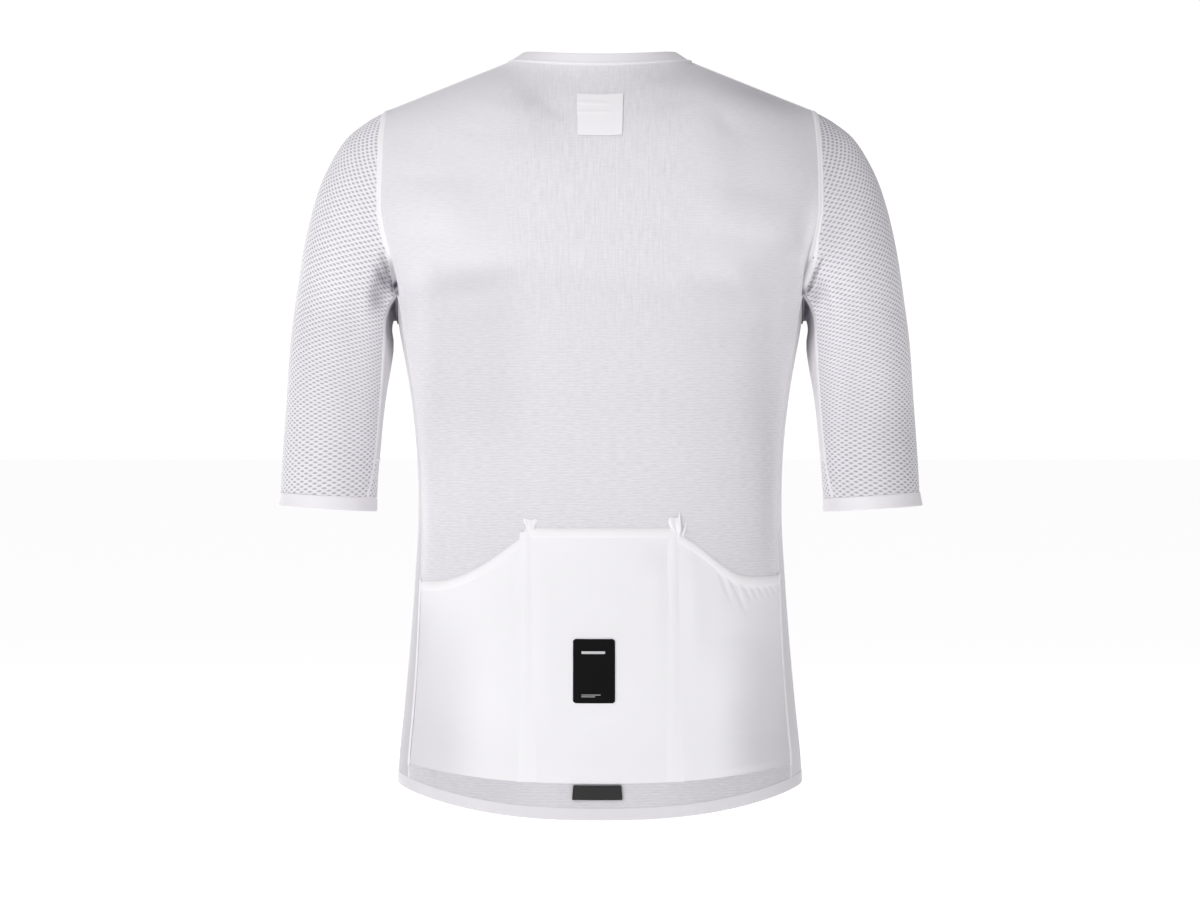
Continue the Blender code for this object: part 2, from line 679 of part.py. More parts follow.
def build_pockets(back, normal):
    division = float(DIVISION_COLUMN)
    edge = float(HALF_COLUMNS)
    centre = np.linspace(-division, division, 2 * DIVISION_COLUMN + 1)
    middle = build_pocket("centre", back, normal, centre, MOUTH_CENTRE + 0 * centre, False)
    outer = np.linspace(division, edge, HALF_COLUMNS - DIVISION_COLUMN + 1)
    build_pocket("left", back, normal, outer, mouth_height(outer, True), False)
    fine = np.linspace(-edge, -division, FINE_COLUMNS * (HALF_COLUMNS - DIVISION_COLUMN) + 1)
    build_pocket("right", back, normal, fine, mouth_height(np.abs(fine), False), True)
    return middle


def build_tacks(back, normal):
    """The pinched corners that stand above the mouth at each pocket division."""
    foot = MOUTH_CENTRE + SEAM_GAP
    share = np.linspace(0, 1, len(TACK["top"]))
    height = foot + (TACK["top"] - foot) * share[:, None]
    fold = TACK_FOLD * np.sin(np.pi * share)
    for name, sign in (("left", 1.0), ("right", -1.0)):
        here, facing = on_panel(back, normal, sign * TACK["column"] + HALF_COLUMNS, height)
        grid = here + facing * (LIFT + WALL + fold)[..., None]
        wall(f"pocket_tack_{name}", grid, facing, WALL, WHITE_BAND)


def build_patch(name, panel, normal, size, look, rows=4):
    """A small oblong sewn flat onto a panel, at half width, middle, top and foot."""
    half_width, middle, top, foot = size
    across = np.linspace(middle - half_width, middle + half_width, 5)
    height = np.linspace(foot, top, rows)[:, None] + 0 * across
    level = (top + foot) / 2
    row = int(np.abs(panel[:, panel.shape[1] // 2, 2] - level).argmin())
    column = np.interp(across, panel[row, :, 0], np.arange(panel.shape[1]))
    here, facing = on_panel(panel, normal, column, height)
    wall(name, here + facing * (LIFT + WALL), facing, WALL, look)


def zip_line(front):
    """The line that the zip follows: hem edge, front panel's edge, collar."""
    foot = torso(HEM_FRONT, np.pi - turn_at_reach(HEM_FRONT, ZIP_EDGE))
    top = np.array([neck(NECK_ZIP_TURN, level) for level in (0.5, 1.0)])
    return np.concatenate([foot[None], front[:, 0], top])


def build_tapes(line):
    along = unit(np.gradient(line, axis=0))
    facing = np.cross(along, [-1.0, 0.0, 0.0])
    facing = facing * np.sign(-facing[:, 1:2])
    for name, sign in (("left", 1.0), ("right", -1.0)):
        reach = sign * np.linspace(TAPE_INNER, TAPE_OUTER, 3)
        grid = points(reach[None, :], line[:, None, 1], line[:, None, 2])
        normal = np.broadcast_to(facing[:, None, :], grid.shape)
        wall(f"zip_tape_{name}", grid, normal, TAPE_WALL, TAPE_WHITE)


def prism(outline, axis_x, axis_y, axis_z, origin, low, high):
    """Vertices and faces of an outline in two axes, drawn out along the third."""
    flat = np.array(outline)
    base = origin + flat[:, :1] * axis_x + flat[:, 1:] * axis_y
    count = len(flat)
    vertices = np.concatenate([base + axis_z * low, base + axis_z * high])
    following = np.roll(np.arange(count), -1)
    sides = [(i, following[i], following[i] + count, i + count) for i in range(count)]
    return vertices, [tuple(range(count))[::-1], tuple(range(count, 2 * count))] + sides


def add_prism(name, look, *args):
    vertices, faces = prism(*args)
    mesh = bpy.data.meshes.new(name)
    mesh.from_pydata(vertices.tolist(), [], [[int(i) for i in face] for face in faces])
    return add_object(name, mesh, look)


def build_slider(line):
    """Two plates joined by a web between the tapes, with a bridge in front for the pull tab."""
    across = np.array([1.0, 0.0, 0.0])
    up = unit(line[-1] - line[-3])
    out = np.cross(across, up)
    out = out * -np.sign(out[1])
    centre = (line[-1] - up * SLIDER_BELOW_TOP) * np.array([0.0, 1.0, 1.0])
    front = SEAM_GAP
    back = -TAPE_WALL - SEAM_GAP
    wide = SLIDER_HALF_WIDTH
    right = [
        (wide, front + SLIDER_PLATE),
        (wide, front),
        (SLIDER_WEB, front),
        (SLIDER_WEB, back),
        (wide, back),
        (wide, back - SLIDER_PLATE),
    ]
    outline = right + [(-x, y) for x, y in reversed(right)]
    half = SLIDER_LENGTH / 2
    slider = add_prism("zip_slider", ZIP_METAL, outline, across, out, up, centre, -half, half)
    base = front + SLIDER_PLATE
    sunk = base - SLIDER_PLATE / 2
    long = BRIDGE_HALF_LENGTH
    arch = [
        (-long, sunk),
        (-long, BRIDGE_TOP - BRIDGE_LEG),
        (-long + BRIDGE_LEG, BRIDGE_TOP),
        (long - BRIDGE_LEG, BRIDGE_TOP),
        (long, BRIDGE_TOP - BRIDGE_LEG),
        (long, sunk),
        (long - BRIDGE_LEG, sunk),
        (long - BRIDGE_LEG, BRIDGE_TOP - BRIDGE_LEG),
        (BRIDGE_LEG - long, BRIDGE_TOP - BRIDGE_LEG),
        (BRIDGE_LEG - long, sunk),
    ]
    width = BRIDGE_HALF_WIDTH
    bridge = add_prism("bridge", ZIP_METAL, arch, up, out, across, centre, -width, width)
    bridge.hide_render = True
    bridge.display_type = "WIRE"
    joined = slider.modifiers.new("bridge", "BOOLEAN")
    joined.operation = "UNION"
    joined.object = bridge
    return centre, out


def build_pull(line, centre, out):
    """The pull tab: an eye round the bridge and a plate that hangs down over the zip."""
    hinge = centre + out * PULL_HEIGHT
    reach = np.linalg.norm(line - centre, axis=1)
    below = line[(line[:, 2] < centre[2]) & (reach > PULL_LENGTH)][-1]
    down = unit((below - centre) * np.array([0.0, 1.0, 1.0]))
    across = np.array([1.0, 0.0, 0.0])
    facing = np.cross(across, down)
    facing = facing * -np.sign(facing[1])
    loops = []
    for outline in (PULL_RIM, PULL_EYE):
        flat = outline["reach"][:, None] * across + outline["below"][:, None] * down
        loops += [flat - facing * PULL_WALL / 2, flat + facing * PULL_WALL / 2]
    count = len(PULL_RIM["reach"])
    index = np.arange(4 * count).reshape(4, count)
    pairs = ((0, 1), (1, 3), (3, 2), (2, 0))
    faces = np.concatenate([grid_faces(index[list(pair)], True) for pair in pairs])
    mesh = bpy.data.meshes.new("zip_pull")
    mesh.from_pydata(np.concatenate(loops).tolist(), [], faces.tolist())
    pull = add_object("zip_pull", mesh, ZIP_METAL)
    pull.location = hinge


def main():
    remove_everything()
    back, back_normal, front = build_body()
    build_cuffs()
    build_hem()
    pocket = build_pockets(back, back_normal)
    build_tacks(back, back_normal)
    build_patch("neck_patch", back, back_normal, NECK_PATCH, PATCH_FILM)
    build_patch("pocket_label", pocket, normals_of(pocket, axis_of(pocket)), POCKET_LABEL, LABEL_BLACK)
    build_patch("hem_tab", back, back_normal, HEM_TAB, TAB_GREY)
    line = zip_line(front)
    build_tapes(line)
    centre, out = build_slider(line)
    build_pull(line, centre, out)


main()
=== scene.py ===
from functools import partial

import bmesh
import bpy
import numpy as np
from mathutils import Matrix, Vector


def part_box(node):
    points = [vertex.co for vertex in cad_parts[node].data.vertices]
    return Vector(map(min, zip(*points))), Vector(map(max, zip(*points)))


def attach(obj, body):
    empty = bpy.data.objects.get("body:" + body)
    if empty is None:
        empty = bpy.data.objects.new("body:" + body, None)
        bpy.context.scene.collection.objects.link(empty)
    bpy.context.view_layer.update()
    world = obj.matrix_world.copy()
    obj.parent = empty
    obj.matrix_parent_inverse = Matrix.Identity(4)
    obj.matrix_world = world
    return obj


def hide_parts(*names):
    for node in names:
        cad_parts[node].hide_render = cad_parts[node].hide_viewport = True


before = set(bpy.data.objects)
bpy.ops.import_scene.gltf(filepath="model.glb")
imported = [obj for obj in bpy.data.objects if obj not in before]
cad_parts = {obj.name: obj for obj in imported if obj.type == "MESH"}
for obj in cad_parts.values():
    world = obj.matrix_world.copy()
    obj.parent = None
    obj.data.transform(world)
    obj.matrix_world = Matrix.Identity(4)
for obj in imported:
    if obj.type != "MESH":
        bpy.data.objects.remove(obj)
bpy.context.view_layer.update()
print("frame loaded")


def addObject(name, data):  # a new object in the scene
    made = bpy.data.objects.new(name, data)
    bpy.context.scene.collection.objects.link(made)
    return made


# camera, straight behind the back at mid height
cameraSet = {
    "distance": 3.5,
    "height": -0.3146,
    "metresPerPixel": 0.00092,
    "pixelsWide": 1200,
    "sensor": 36.0,
}


def makeCamera(s):  # lens = sensor * distance / width seen at the jersey's middle
    data = bpy.data.cameras.new("camera")
    data.sensor_width = s["sensor"]
    data.lens = s["sensor"] * s["distance"] / (s["pixelsWide"] * s["metresPerPixel"])
    made = addObject("camera", data)
    made.location = (0, s["distance"], s["height"])
    made.rotation_euler = (np.pi / 2, 0, np.pi)
    bpy.context.scene.camera = made


makeCamera(cameraSet)


def table(names, *rows):  # one array for each named column
    return dict(zip(names.split(), np.array(rows, float).T))


def smooth(at, known, values):  # cubic Hermite curve through the known values
    slopes = np.gradient(values, known)
    at = np.clip(at, known[0], known[-1])
    below = np.clip(np.searchsorted(known, at, side="right") - 1, 0, len(known) - 2)
    step = known[below + 1] - known[below]
    t = (at - known[below]) / step
    start = (1 + 2 * t) * (1 - t) ** 2 * values[below] + t * (1 - t) ** 2 * step * slopes[below]
    end = t**2 * (3 - 2 * t) * values[below + 1] + t**2 * (t - 1) * step * slopes[below + 1]
    return start + end


def soft(t):  # smooth step from 0 to 1: 3t^2 - 2t^3
    t = np.clip(t, 0, 1)
    return t * t * (3 - 2 * t)


def ramp(value, start, span):  # soft step from 0 at start to 1 a span further on; a minus span runs downwards
    return soft((value - start) / span)


def points(x, y, z):  # x, y and z side by side
    return np.stack(np.broadcast_arrays(x, y, z), -1)


def unit(vectors):  # each vector over its length
    return vectors / np.maximum(np.linalg.norm(vectors, axis=-1, keepdims=True), 1e-12)


def mirrored(grid):  # x turned round
    return grid * np.array([-1.0, 1.0, 1.0])


def upright(grid):  # the body's middle line, at the height of each point
    return grid * np.array([0.0, 0.0, 1.0])


# the worn form: torso sections, side seams, hem, armhole, neck and yoke
bodySet = {
    "corner": 2.4,
    "hemBack": -0.6447,
    "hemSide": -0.6185,
    "hemFront": -0.5920,
    "hemBand": 0.0110,
    "zipEdge": 0.0065,
    "columns": 16,
    "neckColumns": 7,
    "divisionColumn": 4,
    "division": 0.0660,
}
torsoForm = table(
    "height halfWidth backDepth frontDepth",
    (-0.660, 0.1860, 0.1130, 0.0960),
    (-0.600, 0.1845, 0.1140, 0.0985),
    (-0.545, 0.1790, 0.1115, 0.1010),
    (-0.490, 0.1740, 0.1050, 0.1025),
    (-0.435, 0.1700, 0.0970, 0.1025),
    (-0.380, 0.1670, 0.0905, 0.1020),
    (-0.330, 0.1675, 0.0895, 0.1040),
    (-0.270, 0.1730, 0.0940, 0.1090),
    (-0.214, 0.1825, 0.1010, 0.1140),
    (-0.172, 0.1910, 0.1060, 0.1155),
    (-0.144, 0.2040, 0.1085, 0.1150),
    (-0.118, 0.2160, 0.1095, 0.1120),
    (-0.099, 0.2211, 0.1095, 0.1085),
)
seamForm = table(
    "height behind ahead",
    (-0.660, 0.0515, 0.0480),
    (-0.600, 0.0510, 0.0480),
    (-0.545, 0.0490, 0.0460),
    (-0.435, 0.0370, 0.0400),
    (-0.350, 0.0275, 0.0340),
    (-0.270, 0.0285, 0.0350),
    (-0.214, 0.0320, 0.0385),
    (-0.173, 0.0359, 0.0412),
)
armholeSet = {
    "reach": 0.1965,
    "top": -0.0030,
    "armpit": -0.1960,
    "y": -0.0040,
    "back": 0.0610,
    "front": 0.0570,
    "gussetTurn": 2.4300,
}
neckForm = table(
    "halfWidth backDepth frontDepth backHeight sideHeight frontHeight",
    (0.0855, 0.0640, 0.0810, 0.0326, 0.0415, -0.0280),
    (0.0705, 0.0600, 0.0743, 0.0447, 0.0512, -0.0113),
)
yokeSet = {"riseBack": 58, "riseFront": 68, "riseSide": 6, "below": 0.58, "above": 0.36, "easeColumns": 2}
gridSet = {
    "columns": 64,
    "bodyRows": 150,
    "lowerRows": 24,
    "upperRows": 48,
    "sideColumns": 24,
    "sleeveRows": 120,
}


def torsoSize(name, height):  # one column of the torso's table at a height
    return smooth(height, torsoForm["height"], torsoForm[name])


def torso(height, turn):  # superellipse section: turn 0 behind, half pi at the side, pi ahead
    power = 2 / bodySet["corner"]
    depth = np.where(np.cos(turn) >= 0, torsoSize("backDepth", height), torsoSize("frontDepth", height))
    x = torsoSize("halfWidth", height) * np.abs(np.sin(turn)) ** power
    y = depth * np.sign(np.cos(turn)) * np.abs(np.cos(turn)) ** power
    return points(x, y, height)


def turnAtReach(height, reach):  # the turn at which the section is reach wide
    return np.arcsin(np.clip(reach / torsoSize("halfWidth", height), 0, 1) ** (bodySet["corner"] / 2))


def turnAtDepth(height, y):  # the turn at which the section is y deep
    share = np.abs(y) / np.where(y >= 0, torsoSize("backDepth", height), torsoSize("frontDepth", height))
    return np.arccos(np.sign(y) * share ** (bodySet["corner"] / 2))


armholeMiddle = (armholeSet["top"] + armholeSet["armpit"]) / 2
armholeHalf = (armholeSet["top"] - armholeSet["armpit"]) / 2
gussetHeight = armholeMiddle + armholeHalf * np.cos(armholeSet["gussetTurn"])


def armholeY(turn):  # the oval's depth times the sine of the turn
    depth = np.where(np.sin(turn) >= 0, armholeSet["back"], armholeSet["front"])
    return armholeSet["y"] + depth * np.sin(turn)


def armhole(turn):  # an upright oval: its lower half lies on the torso, its upper half leans to the shoulder
    height = armholeMiddle + armholeHalf * np.cos(turn)
    y = armholeY(turn)
    onBody = torso(height, turnAtDepth(height, y))[..., 0]
    middleY = armholeY(np.sign(np.sin(turn)) * np.pi / 2)
    middle = torso(armholeMiddle, turnAtDepth(armholeMiddle, middleY))[..., 0]
    onShoulder = armholeSet["reach"] + (middle - armholeSet["reach"]) * np.abs(np.sin(turn))
    return points(np.where(np.cos(turn) < -1e-9, onBody, onShoulder), y, height)


def edgeDepth(height, side):  # where a panel ends: at the side seam, higher up at the armhole
    lift = np.clip((height - armholeMiddle) / armholeHalf, -1, 1)
    sign = 1 if side == "behind" else -1
    reach = armholeSet["back" if side == "behind" else "front"]
    atArmhole = sign * armholeSet["y"] + reach * np.sqrt(1 - lift**2)
    return np.where(height < gussetHeight, smooth(height, seamForm["height"], seamForm[side]), atArmhole)


def acrossBack(column, height):  # even reach out to the pocket division, then even turns to the edge
    division = turnAtReach(height, bodySet["division"])
    edge = turnAtDepth(height, edgeDepth(height, "behind"))
    first = bodySet["divisionColumn"]
    share = (column - first) / (bodySet["columns"] - first)
    inner = turnAtReach(height, bodySet["division"] * np.clip(column / first, 0, 1))
    return np.where(column <= first, inner, division + (edge - division) * share)


def acrossFront(column, height):  # even turns from the zip to the edge
    zipped = np.pi - turnAtReach(height, bodySet["zipEdge"])
    edge = turnAtDepth(height, -edgeDepth(height, "ahead"))
    return zipped + (edge - zipped) * column / bodySet["columns"]


def hemHeight(turn):  # side height plus a drop times cos^2
    end = np.where(np.cos(turn) >= 0, bodySet["hemBack"], bodySet["hemFront"])
    return bodySet["hemSide"] + (end - bodySet["hemSide"]) * np.cos(turn) ** 2


def neck(turn, level):  # neck loops: level 0 at the collar's foot, 1 at its top; turn 0 behind
    size = {name: column[0] + (column[1] - column[0]) * level for name, column in neckForm.items()}
    behind = np.cos(turn) >= 0
    depth = np.where(behind, size["backDepth"], size["frontDepth"])
    end = np.where(behind, size["backHeight"], size["frontHeight"])
    height = size["sideHeight"] + (end - size["sideHeight"]) * np.cos(turn) ** 2
    return points(size["halfWidth"] * np.sin(turn), armholeSet["y"] + depth * np.cos(turn), height)


neckZipTurn = np.pi - np.arcsin(bodySet["zipEdge"] / neckForm["halfWidth"][0])
columns = np.linspace(0, bodySet["columns"], gridSet["columns"] + 1)
lowerTurns = np.linspace(armholeSet["gussetTurn"], np.pi / 2, gridSet["lowerRows"] + 1)
upperTurns = np.linspace(np.pi / 2, 0, gridSet["upperRows"] + 1)
armholeTurns = np.concatenate([lowerTurns, upperTurns[1:]])


def yoke(front, start, below):
    # a Bezier curve for each column, from the armhole's middle over the shoulder: it leaves along the
    # panel, arrives with the yoke's rise, and is then shifted to end on the armhole at the last column
    s = yokeSet
    first = neckZipTurn if front else 0.0
    neckShare = np.clip(columns / bodySet["neckColumns"], 0, 1)
    outColumns = bodySet["columns"] - bodySet["neckColumns"]
    outShare = np.clip((columns - bodySet["neckColumns"]) / outColumns, 0, 1)
    shoulder = armhole(0.0) - neck(np.pi / 2, 0)
    end = neck(first + (np.pi / 2 - first) * neckShare, 0) + shoulder * outShare[:, None]
    span = np.linalg.norm(end - start, axis=-1, keepdims=True)
    steep = np.radians(s["riseFront"] if front else s["riseBack"])
    flat = np.radians(s["riseSide"])
    share = np.clip(columns / (bodySet["neckColumns"] + s["easeColumns"]), 0, 1)
    rise = flat + (steep - flat) * np.cos(share * np.pi / 2) ** 2
    leave = unit((start - below) * np.array([0.0, 1.0, 1.0]))
    arrive = points(0.0, (1.0 if front else -1.0) * np.cos(rise), np.sin(rise))
    handleBelow = start + leave * span * s["below"]
    handleAbove = end - arrive * span * s["above"]
    t = (1 - upperTurns / (np.pi / 2))[1:, None, None]
    rows = (1 - t) ** 3 * start + 3 * t * (1 - t) ** 2 * handleBelow
    rows = rows + 3 * t**2 * (1 - t) * handleAbove + t**3 * end
    off = armhole((-1.0 if front else 1.0) * upperTurns[1:]) - rows[:, -1]
    return rows + off[:, None, :] * ((columns / columns[-1]) ** 6)[None, :, None]


def halfPanel(front):  # rows from the hem band up to the neck and shoulder, columns from the middle out
    across = acrossFront if front else acrossBack
    foot = hemHeight(across(columns[None], bodySet["hemSide"])) + bodySet["hemBand"]
    rise = np.linspace(0, 1, gridSet["bodyRows"] + 1)[:, None]
    lower = foot + (gussetHeight - foot) * rise
    middle = armholeMiddle + armholeHalf * np.cos(lowerTurns[1:])[:, None]
    height = np.concatenate([lower, middle + 0 * columns[None]])
    body = torso(height, across(columns[None], height))
    return np.concatenate([body, yoke(front, body[-1], body[-2])])


def relaxed(grid, firstRow, passes):  # each inner point moves to the mean of its neighbours, rim held
    part = grid[firstRow:]
    for _ in range(passes):
        mean = (part[:-2, 1:-1] + part[2:, 1:-1] + part[1:-1, :-2] + part[1:-1, 2:]) / 4
        part[1:-1, 1:-1] += (mean - part[1:-1, 1:-1]) * 0.8
    return grid


def sidePanel():  # from the back's seam round to the front's, up to the armhole's foot
    share = np.linspace(0, 1, gridSet["sideColumns"] + 1)[None, :]
    rise = np.linspace(0, 1, gridSet["bodyRows"] + 1)[:, None]
    turn = armholeSet["gussetTurn"]
    top = armhole(turn + (2 * np.pi - 2 * turn) * share)
    behind = acrossBack(bodySet["columns"], bodySet["hemSide"])
    ahead = acrossFront(bodySet["columns"], bodySet["hemSide"])
    foot = hemHeight(behind + (ahead - behind) * share) + bodySet["hemBand"]
    height = foot + (top[..., 2] - foot) * rise
    first = edgeDepth(foot[0, 0] + (gussetHeight - foot[0, 0]) * rise, "behind")
    last = -edgeDepth(foot[0, -1] + (gussetHeight - foot[0, -1]) * rise, "ahead")
    even = first + (last - first) * share
    nearTop = np.clip((rise - 0.6) / 0.4, 0, 1) ** 2  # over the upper 0.4 the columns bend to the armhole's
    return torso(height, turnAtDepth(height, even + (top[..., 1] - even[-1]) * nearTop))


# sleeves: rings from the armhole to the cuff band by their outer and inner ends
sleeveForm = table(
    "outerX outerZ innerX innerZ halfDepth gusset",
    (0.1965, -0.0030, 0.1856, -0.1960, 0.0590, 0.7116),
    (0.2150, -0.0135, 0.1862, -0.1985, 0.0605, 0.6900),
    (0.2346, -0.0300, 0.1868, -0.2005, 0.0618, 0.6700),
    (0.2525, -0.0600, 0.1874, -0.2030, 0.0622, 0.6500),
    (0.2640, -0.0920, 0.1880, -0.2060, 0.0618, 0.6400),
    (0.2727, -0.1300, 0.1886, -0.2110, 0.0605, 0.6200),
    (0.2790, -0.1700, 0.1896, -0.2210, 0.0590, 0.5900),
    (0.2848, -0.2150, 0.1925, -0.2420, 0.0575, 0.5200),
    (0.2885, -0.2680, 0.1970, -0.2720, 0.0560, 0.4300),
    (0.2922, -0.3200, 0.2030, -0.3230, 0.0545, 0.3800),
    (0.2940, -0.3530, 0.2055, -0.3585, 0.0535, 0.5600),
)
cuffForm = table(
    "outerX outerZ innerX innerZ halfDepth",
    (0.2944, -0.3536, 0.2055, -0.3591, 0.0536),
    (0.2956, -0.3600, 0.2055, -0.3652, 0.0540),
    (0.2968, -0.3658, 0.2056, -0.3712, 0.0544),
)
sleeveSet = {"fadeRings": 4, "underarmRings": 9, "lastRing": 10}


def ringSizes(row, form):
    # the table's columns read at any ring number, with the middle and half the span between a ring's ends
    index = np.arange(len(form["outerX"]), dtype=float)
    size = {name: smooth(row, index, column) for name, column in form.items()}
    for axis in "XZ":
        size["middle" + axis] = (size["outer" + axis] + size["inner" + axis]) / 2
        size["half" + axis] = (size["outer" + axis] - size["inner" + axis]) / 2
    return size


def ring(row, turn, form):  # an oval between its outer and inner ends
    size = ringSizes(row, form)
    x, z = (size["middle" + axis] + size["half" + axis] * np.cos(turn) for axis in "XZ")
    return points(x, armholeSet["y"] + size["halfDepth"] * np.sin(turn), z)


def capTurns(row):  # front edge, over the shoulder, back edge
    oneSide = armholeTurns[::-1] / armholeSet["gussetTurn"] * (np.pi - ringSizes(row, sleeveForm)["gusset"])
    return np.concatenate([-oneSide[..., ::-1], oneSide[..., 1:]], axis=-1)


def gussetTurns(row):  # back edge, under the arm, front edge
    edge = np.pi - ringSizes(row, sleeveForm)["gusset"]
    return edge + (2 * np.pi - 2 * edge) * np.linspace(0, 1, gridSet["sideColumns"] + 1)


def sleeveGrid(rings, turnsOf):  # rings that keep the armhole's form at first and let go of it
    row = rings[:, None]
    atArmhole = turnsOf(np.zeros((1, 1)))
    form = armhole(atArmhole) - ring(0.0, atArmhole, sleeveForm)
    kept = np.clip(1 - row / sleeveSet["fadeRings"], 0, 1) ** 1.5
    return ring(row, turnsOf(row), sleeveForm) + form * kept[..., None]


def sleeveAxis(rings):  # the line down the sleeve's middle
    size = ringSizes(rings[:, None], sleeveForm)
    return points(size["middleX"], armholeSet["y"], size["middleZ"])


def normalsOf(grid, centre=None, closed=False):
    # cross product of the two grid directions, facing away from the centre, which is the body's middle
    # unless given
    along = np.roll(grid, -1, 1) - np.roll(grid, 1, 1) if closed else np.gradient(grid, axis=1)
    normal = unit(np.cross(along, np.gradient(grid, axis=0)))
    centre = upright(grid) if centre is None else centre
    return normal if (normal * (grid - centre)).sum() > 0 else -normal


def agree(*shared):  # edges that meet at a seam get one normal
    mean = unit(sum(shared))
    for edge in shared:
        edge[...] = mean


# folds: soft troughs (minus) and ridges (plus), as x0 z0 x1 z1 width depth in millimetres on the worn form
backFolds = (
    (68, 14, 46, 0, 11, -4.6),
    (46, -8, 26, -12, 8, -1.6),
    (112, 0, 58, -18, 8, 0.9),
    (132, -26, 86, -33, 6, -0.7),
    (188, -30, 120, -52, 14, -1.2),
    (-92, 12, -52, -6, 9, -2.2),
    (-104, -12, -122, -26, 10, -2),
    (-178, -16, -112, -40, 10, -1.2),
    (196, -180, 150, -164, 14, -4.2),
    (156, -161, 90, -152, 13, -6),
    (150, -200, 70, -176, 12, -1.2),
    (132, -70, 132, -130, 24, 2.2),
    (-192, -90, -180, -140, 13, -3.4),
    (-184, -134, -126, -160, 17, -6.6),
    (-122, -162, -80, -160, 12, -1.8),
    (-170, -194, -100, -208, 12, -1.2),
    (150, -70, 152, -122, 40, 6.8),
    (-130, -80, -126, -124, 36, 5),
    (152, -300, 110, -318, 10, -0.9),
    (-147, -205, -146, -330, 14, -2.2),
    (-152, -320, -112, -334, 10, -1),
    (-108, -372, -76, -394, 6, -1.2),
    (60, -300, 20, -306, 12, -0.6),
    (-30, -250, -80, -262, 14, -0.7),
)
frontFoldsLeft = (
    (82, 10, 50, -30, 10, -1.4),
    (186, -100, 140, -150, 12, -1.8),
    (176, -170, 112, -190, 12, -1.4),
    (12, -80, 60, -100, 9, -0.7),
    (120, -80, 118, -130, 40, 2.4),
    (12, -330, 70, -352, 9, -0.8),
    (150, -352, 98, -372, 10, -1),
    (12, -430, 50, -440, 7, -0.6),
)
frontFoldsRight = (
    (80, 8, 54, -36, 9, -1.2),
    (188, -108, 148, -160, 12, -1.6),
    (170, -180, 120, -206, 11, -1.2),
    (12, -120, 56, -150, 10, -0.8),
    (122, -84, 120, -128, 40, 2.2),
    (12, -372, 64, -384, 8, -0.8),
    (152, -330, 104, -352, 10, -0.9),
)
sleeveFoldsLeft = (
    (188, -146, 192, -178, 6.5, -6.2),
    (196, -150, 203, -186, 6, -4),
    (208, -150, 226, -196, 8, -1.8),
    (198, -128, 212, -176, 6, 2.2),
    (222, -245, 262, -228, 12, -0.7),
    (214, -318, 250, -304, 10, -0.6),
    (276, -150, 258, -170, 12, -0.6),
)
sleeveFoldsRight = (
    (188, -150, 193, -182, 6.5, -5.8),
    (196, -158, 206, -190, 6, -4),
    (190, -136, 186, -152, 5, 3),
    (206, -146, 232, -188, 8, -1.8),
    (214, -150, 208, -180, 5, 1.6),
    (218, -262, 258, -250, 12, -0.8),
    (278, -180, 258, -196, 12, -0.6),
)
underarmFolds = (
    (184, -172, 196, -212, 8, -8),
    (197, -222, 204, -300, 6, -1.6),
)
# painted shade lines: cloth drawn darker where shade falls, given in the same way, with the share of
# painted shade in thousandths at the end
backPaintedShadeLines = (
    (-116, 0, -120, -140, 15, 50),
    (-190, -120, -140, -146, 12, 90),
    (-26, 26, -100, 14, 13, 75),
    (64, 17, 44, 8, 12, 110),
    (-150, -180, -153, -400, 10, 85),
    (-130, 14, -190, -4, 10, 70),
    (-80, 30, -192, -10, 14, 170),
    (-155, -330, -156, -410, 18, 45),
    (90, -18, 30, -36, 22, 45),
)
sleevePaintedShadeLinesLeft = (
    (198.5, -138, 190, -164, 2.6, 360),
    (204.5, -147, 193, -168, 2.8, 300),
    (197, -148, 201, -182, 11, 300),
    (189.5, -159, 188.5, -174, 2.4, 600),
    (208, -172, 198, -188, 6, 200),
)
sleevePaintedShadeLinesRight = (
    (201.6, -140, 192, -165, 1.2, 500),
    (193, -164, 188, -173, 1.7, 700),
    (199, -164, 192, -186, 6, 260),
)


def foldHeight(grid, folds):
    # sum of depth * exp(-(distance to the line / width)^2), fading at the line's ends
    x, z = grid[..., 0], grid[..., 2]
    total = np.zeros(x.shape)
    for x0, z0, x1, z1, width, depth in np.array(folds).reshape(-1, 6) / 1000:
        dx, dz = x1 - x0, z1 - z0
        held = np.clip(((x - x0) * dx + (z - z0) * dz) / (dx * dx + dz * dz), 0, 1)
        away = np.hypot(x - x0 - held * dx, z - z0 - held * dz)
        taper = 0.35 + 0.65 * np.sin(np.pi * held)
        total += depth * taper * np.exp(-((away / width) ** 2))
    return total


def rimFade(grid, margin):  # 0 on the rim, 1 some cells in
    row, col = (np.minimum(np.arange(count), np.arange(count)[::-1]) for count in grid.shape[:2])
    return soft(row / margin)[:, None] * soft(col / margin)


def lengthAlong(grid, axis):  # running length of the grid's lines
    total = np.cumsum(np.linalg.norm(np.diff(grid, axis=axis), axis=-1), axis=axis)
    return np.concatenate([np.zeros_like(total.take([0], axis)), total], axis=axis)


def clothUv(grid, levelRow=0, middleColumn=0):  # metres along the cloth from a level row and a middle column
    u = lengthAlong(grid, 1)
    v = lengthAlong(grid, 0)
    return np.stack([u - u[:, middleColumn][:, None], v - v[levelRow][None, :]], -1)


def outward(mesh):  # turns all faces to the outside
    form = bmesh.new()
    form.from_mesh(mesh)
    bmesh.ops.recalc_face_normals(form, faces=form.faces)
    form.to_mesh(mesh)
    form.free()


def addPiece(name, mesh, look):  # one piece of the garment
    outward(mesh)
    mesh.materials.append(look)
    made = addObject(name, mesh)
    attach(made, "garment")
    return made


def cells(grid):  # the corners of each cell of a grid of numbers
    corners = (grid[:-1, :-1], grid[:-1, 1:], grid[1:, 1:], grid[1:, :-1])
    return np.stack(corners, -1).reshape(-1, 4)


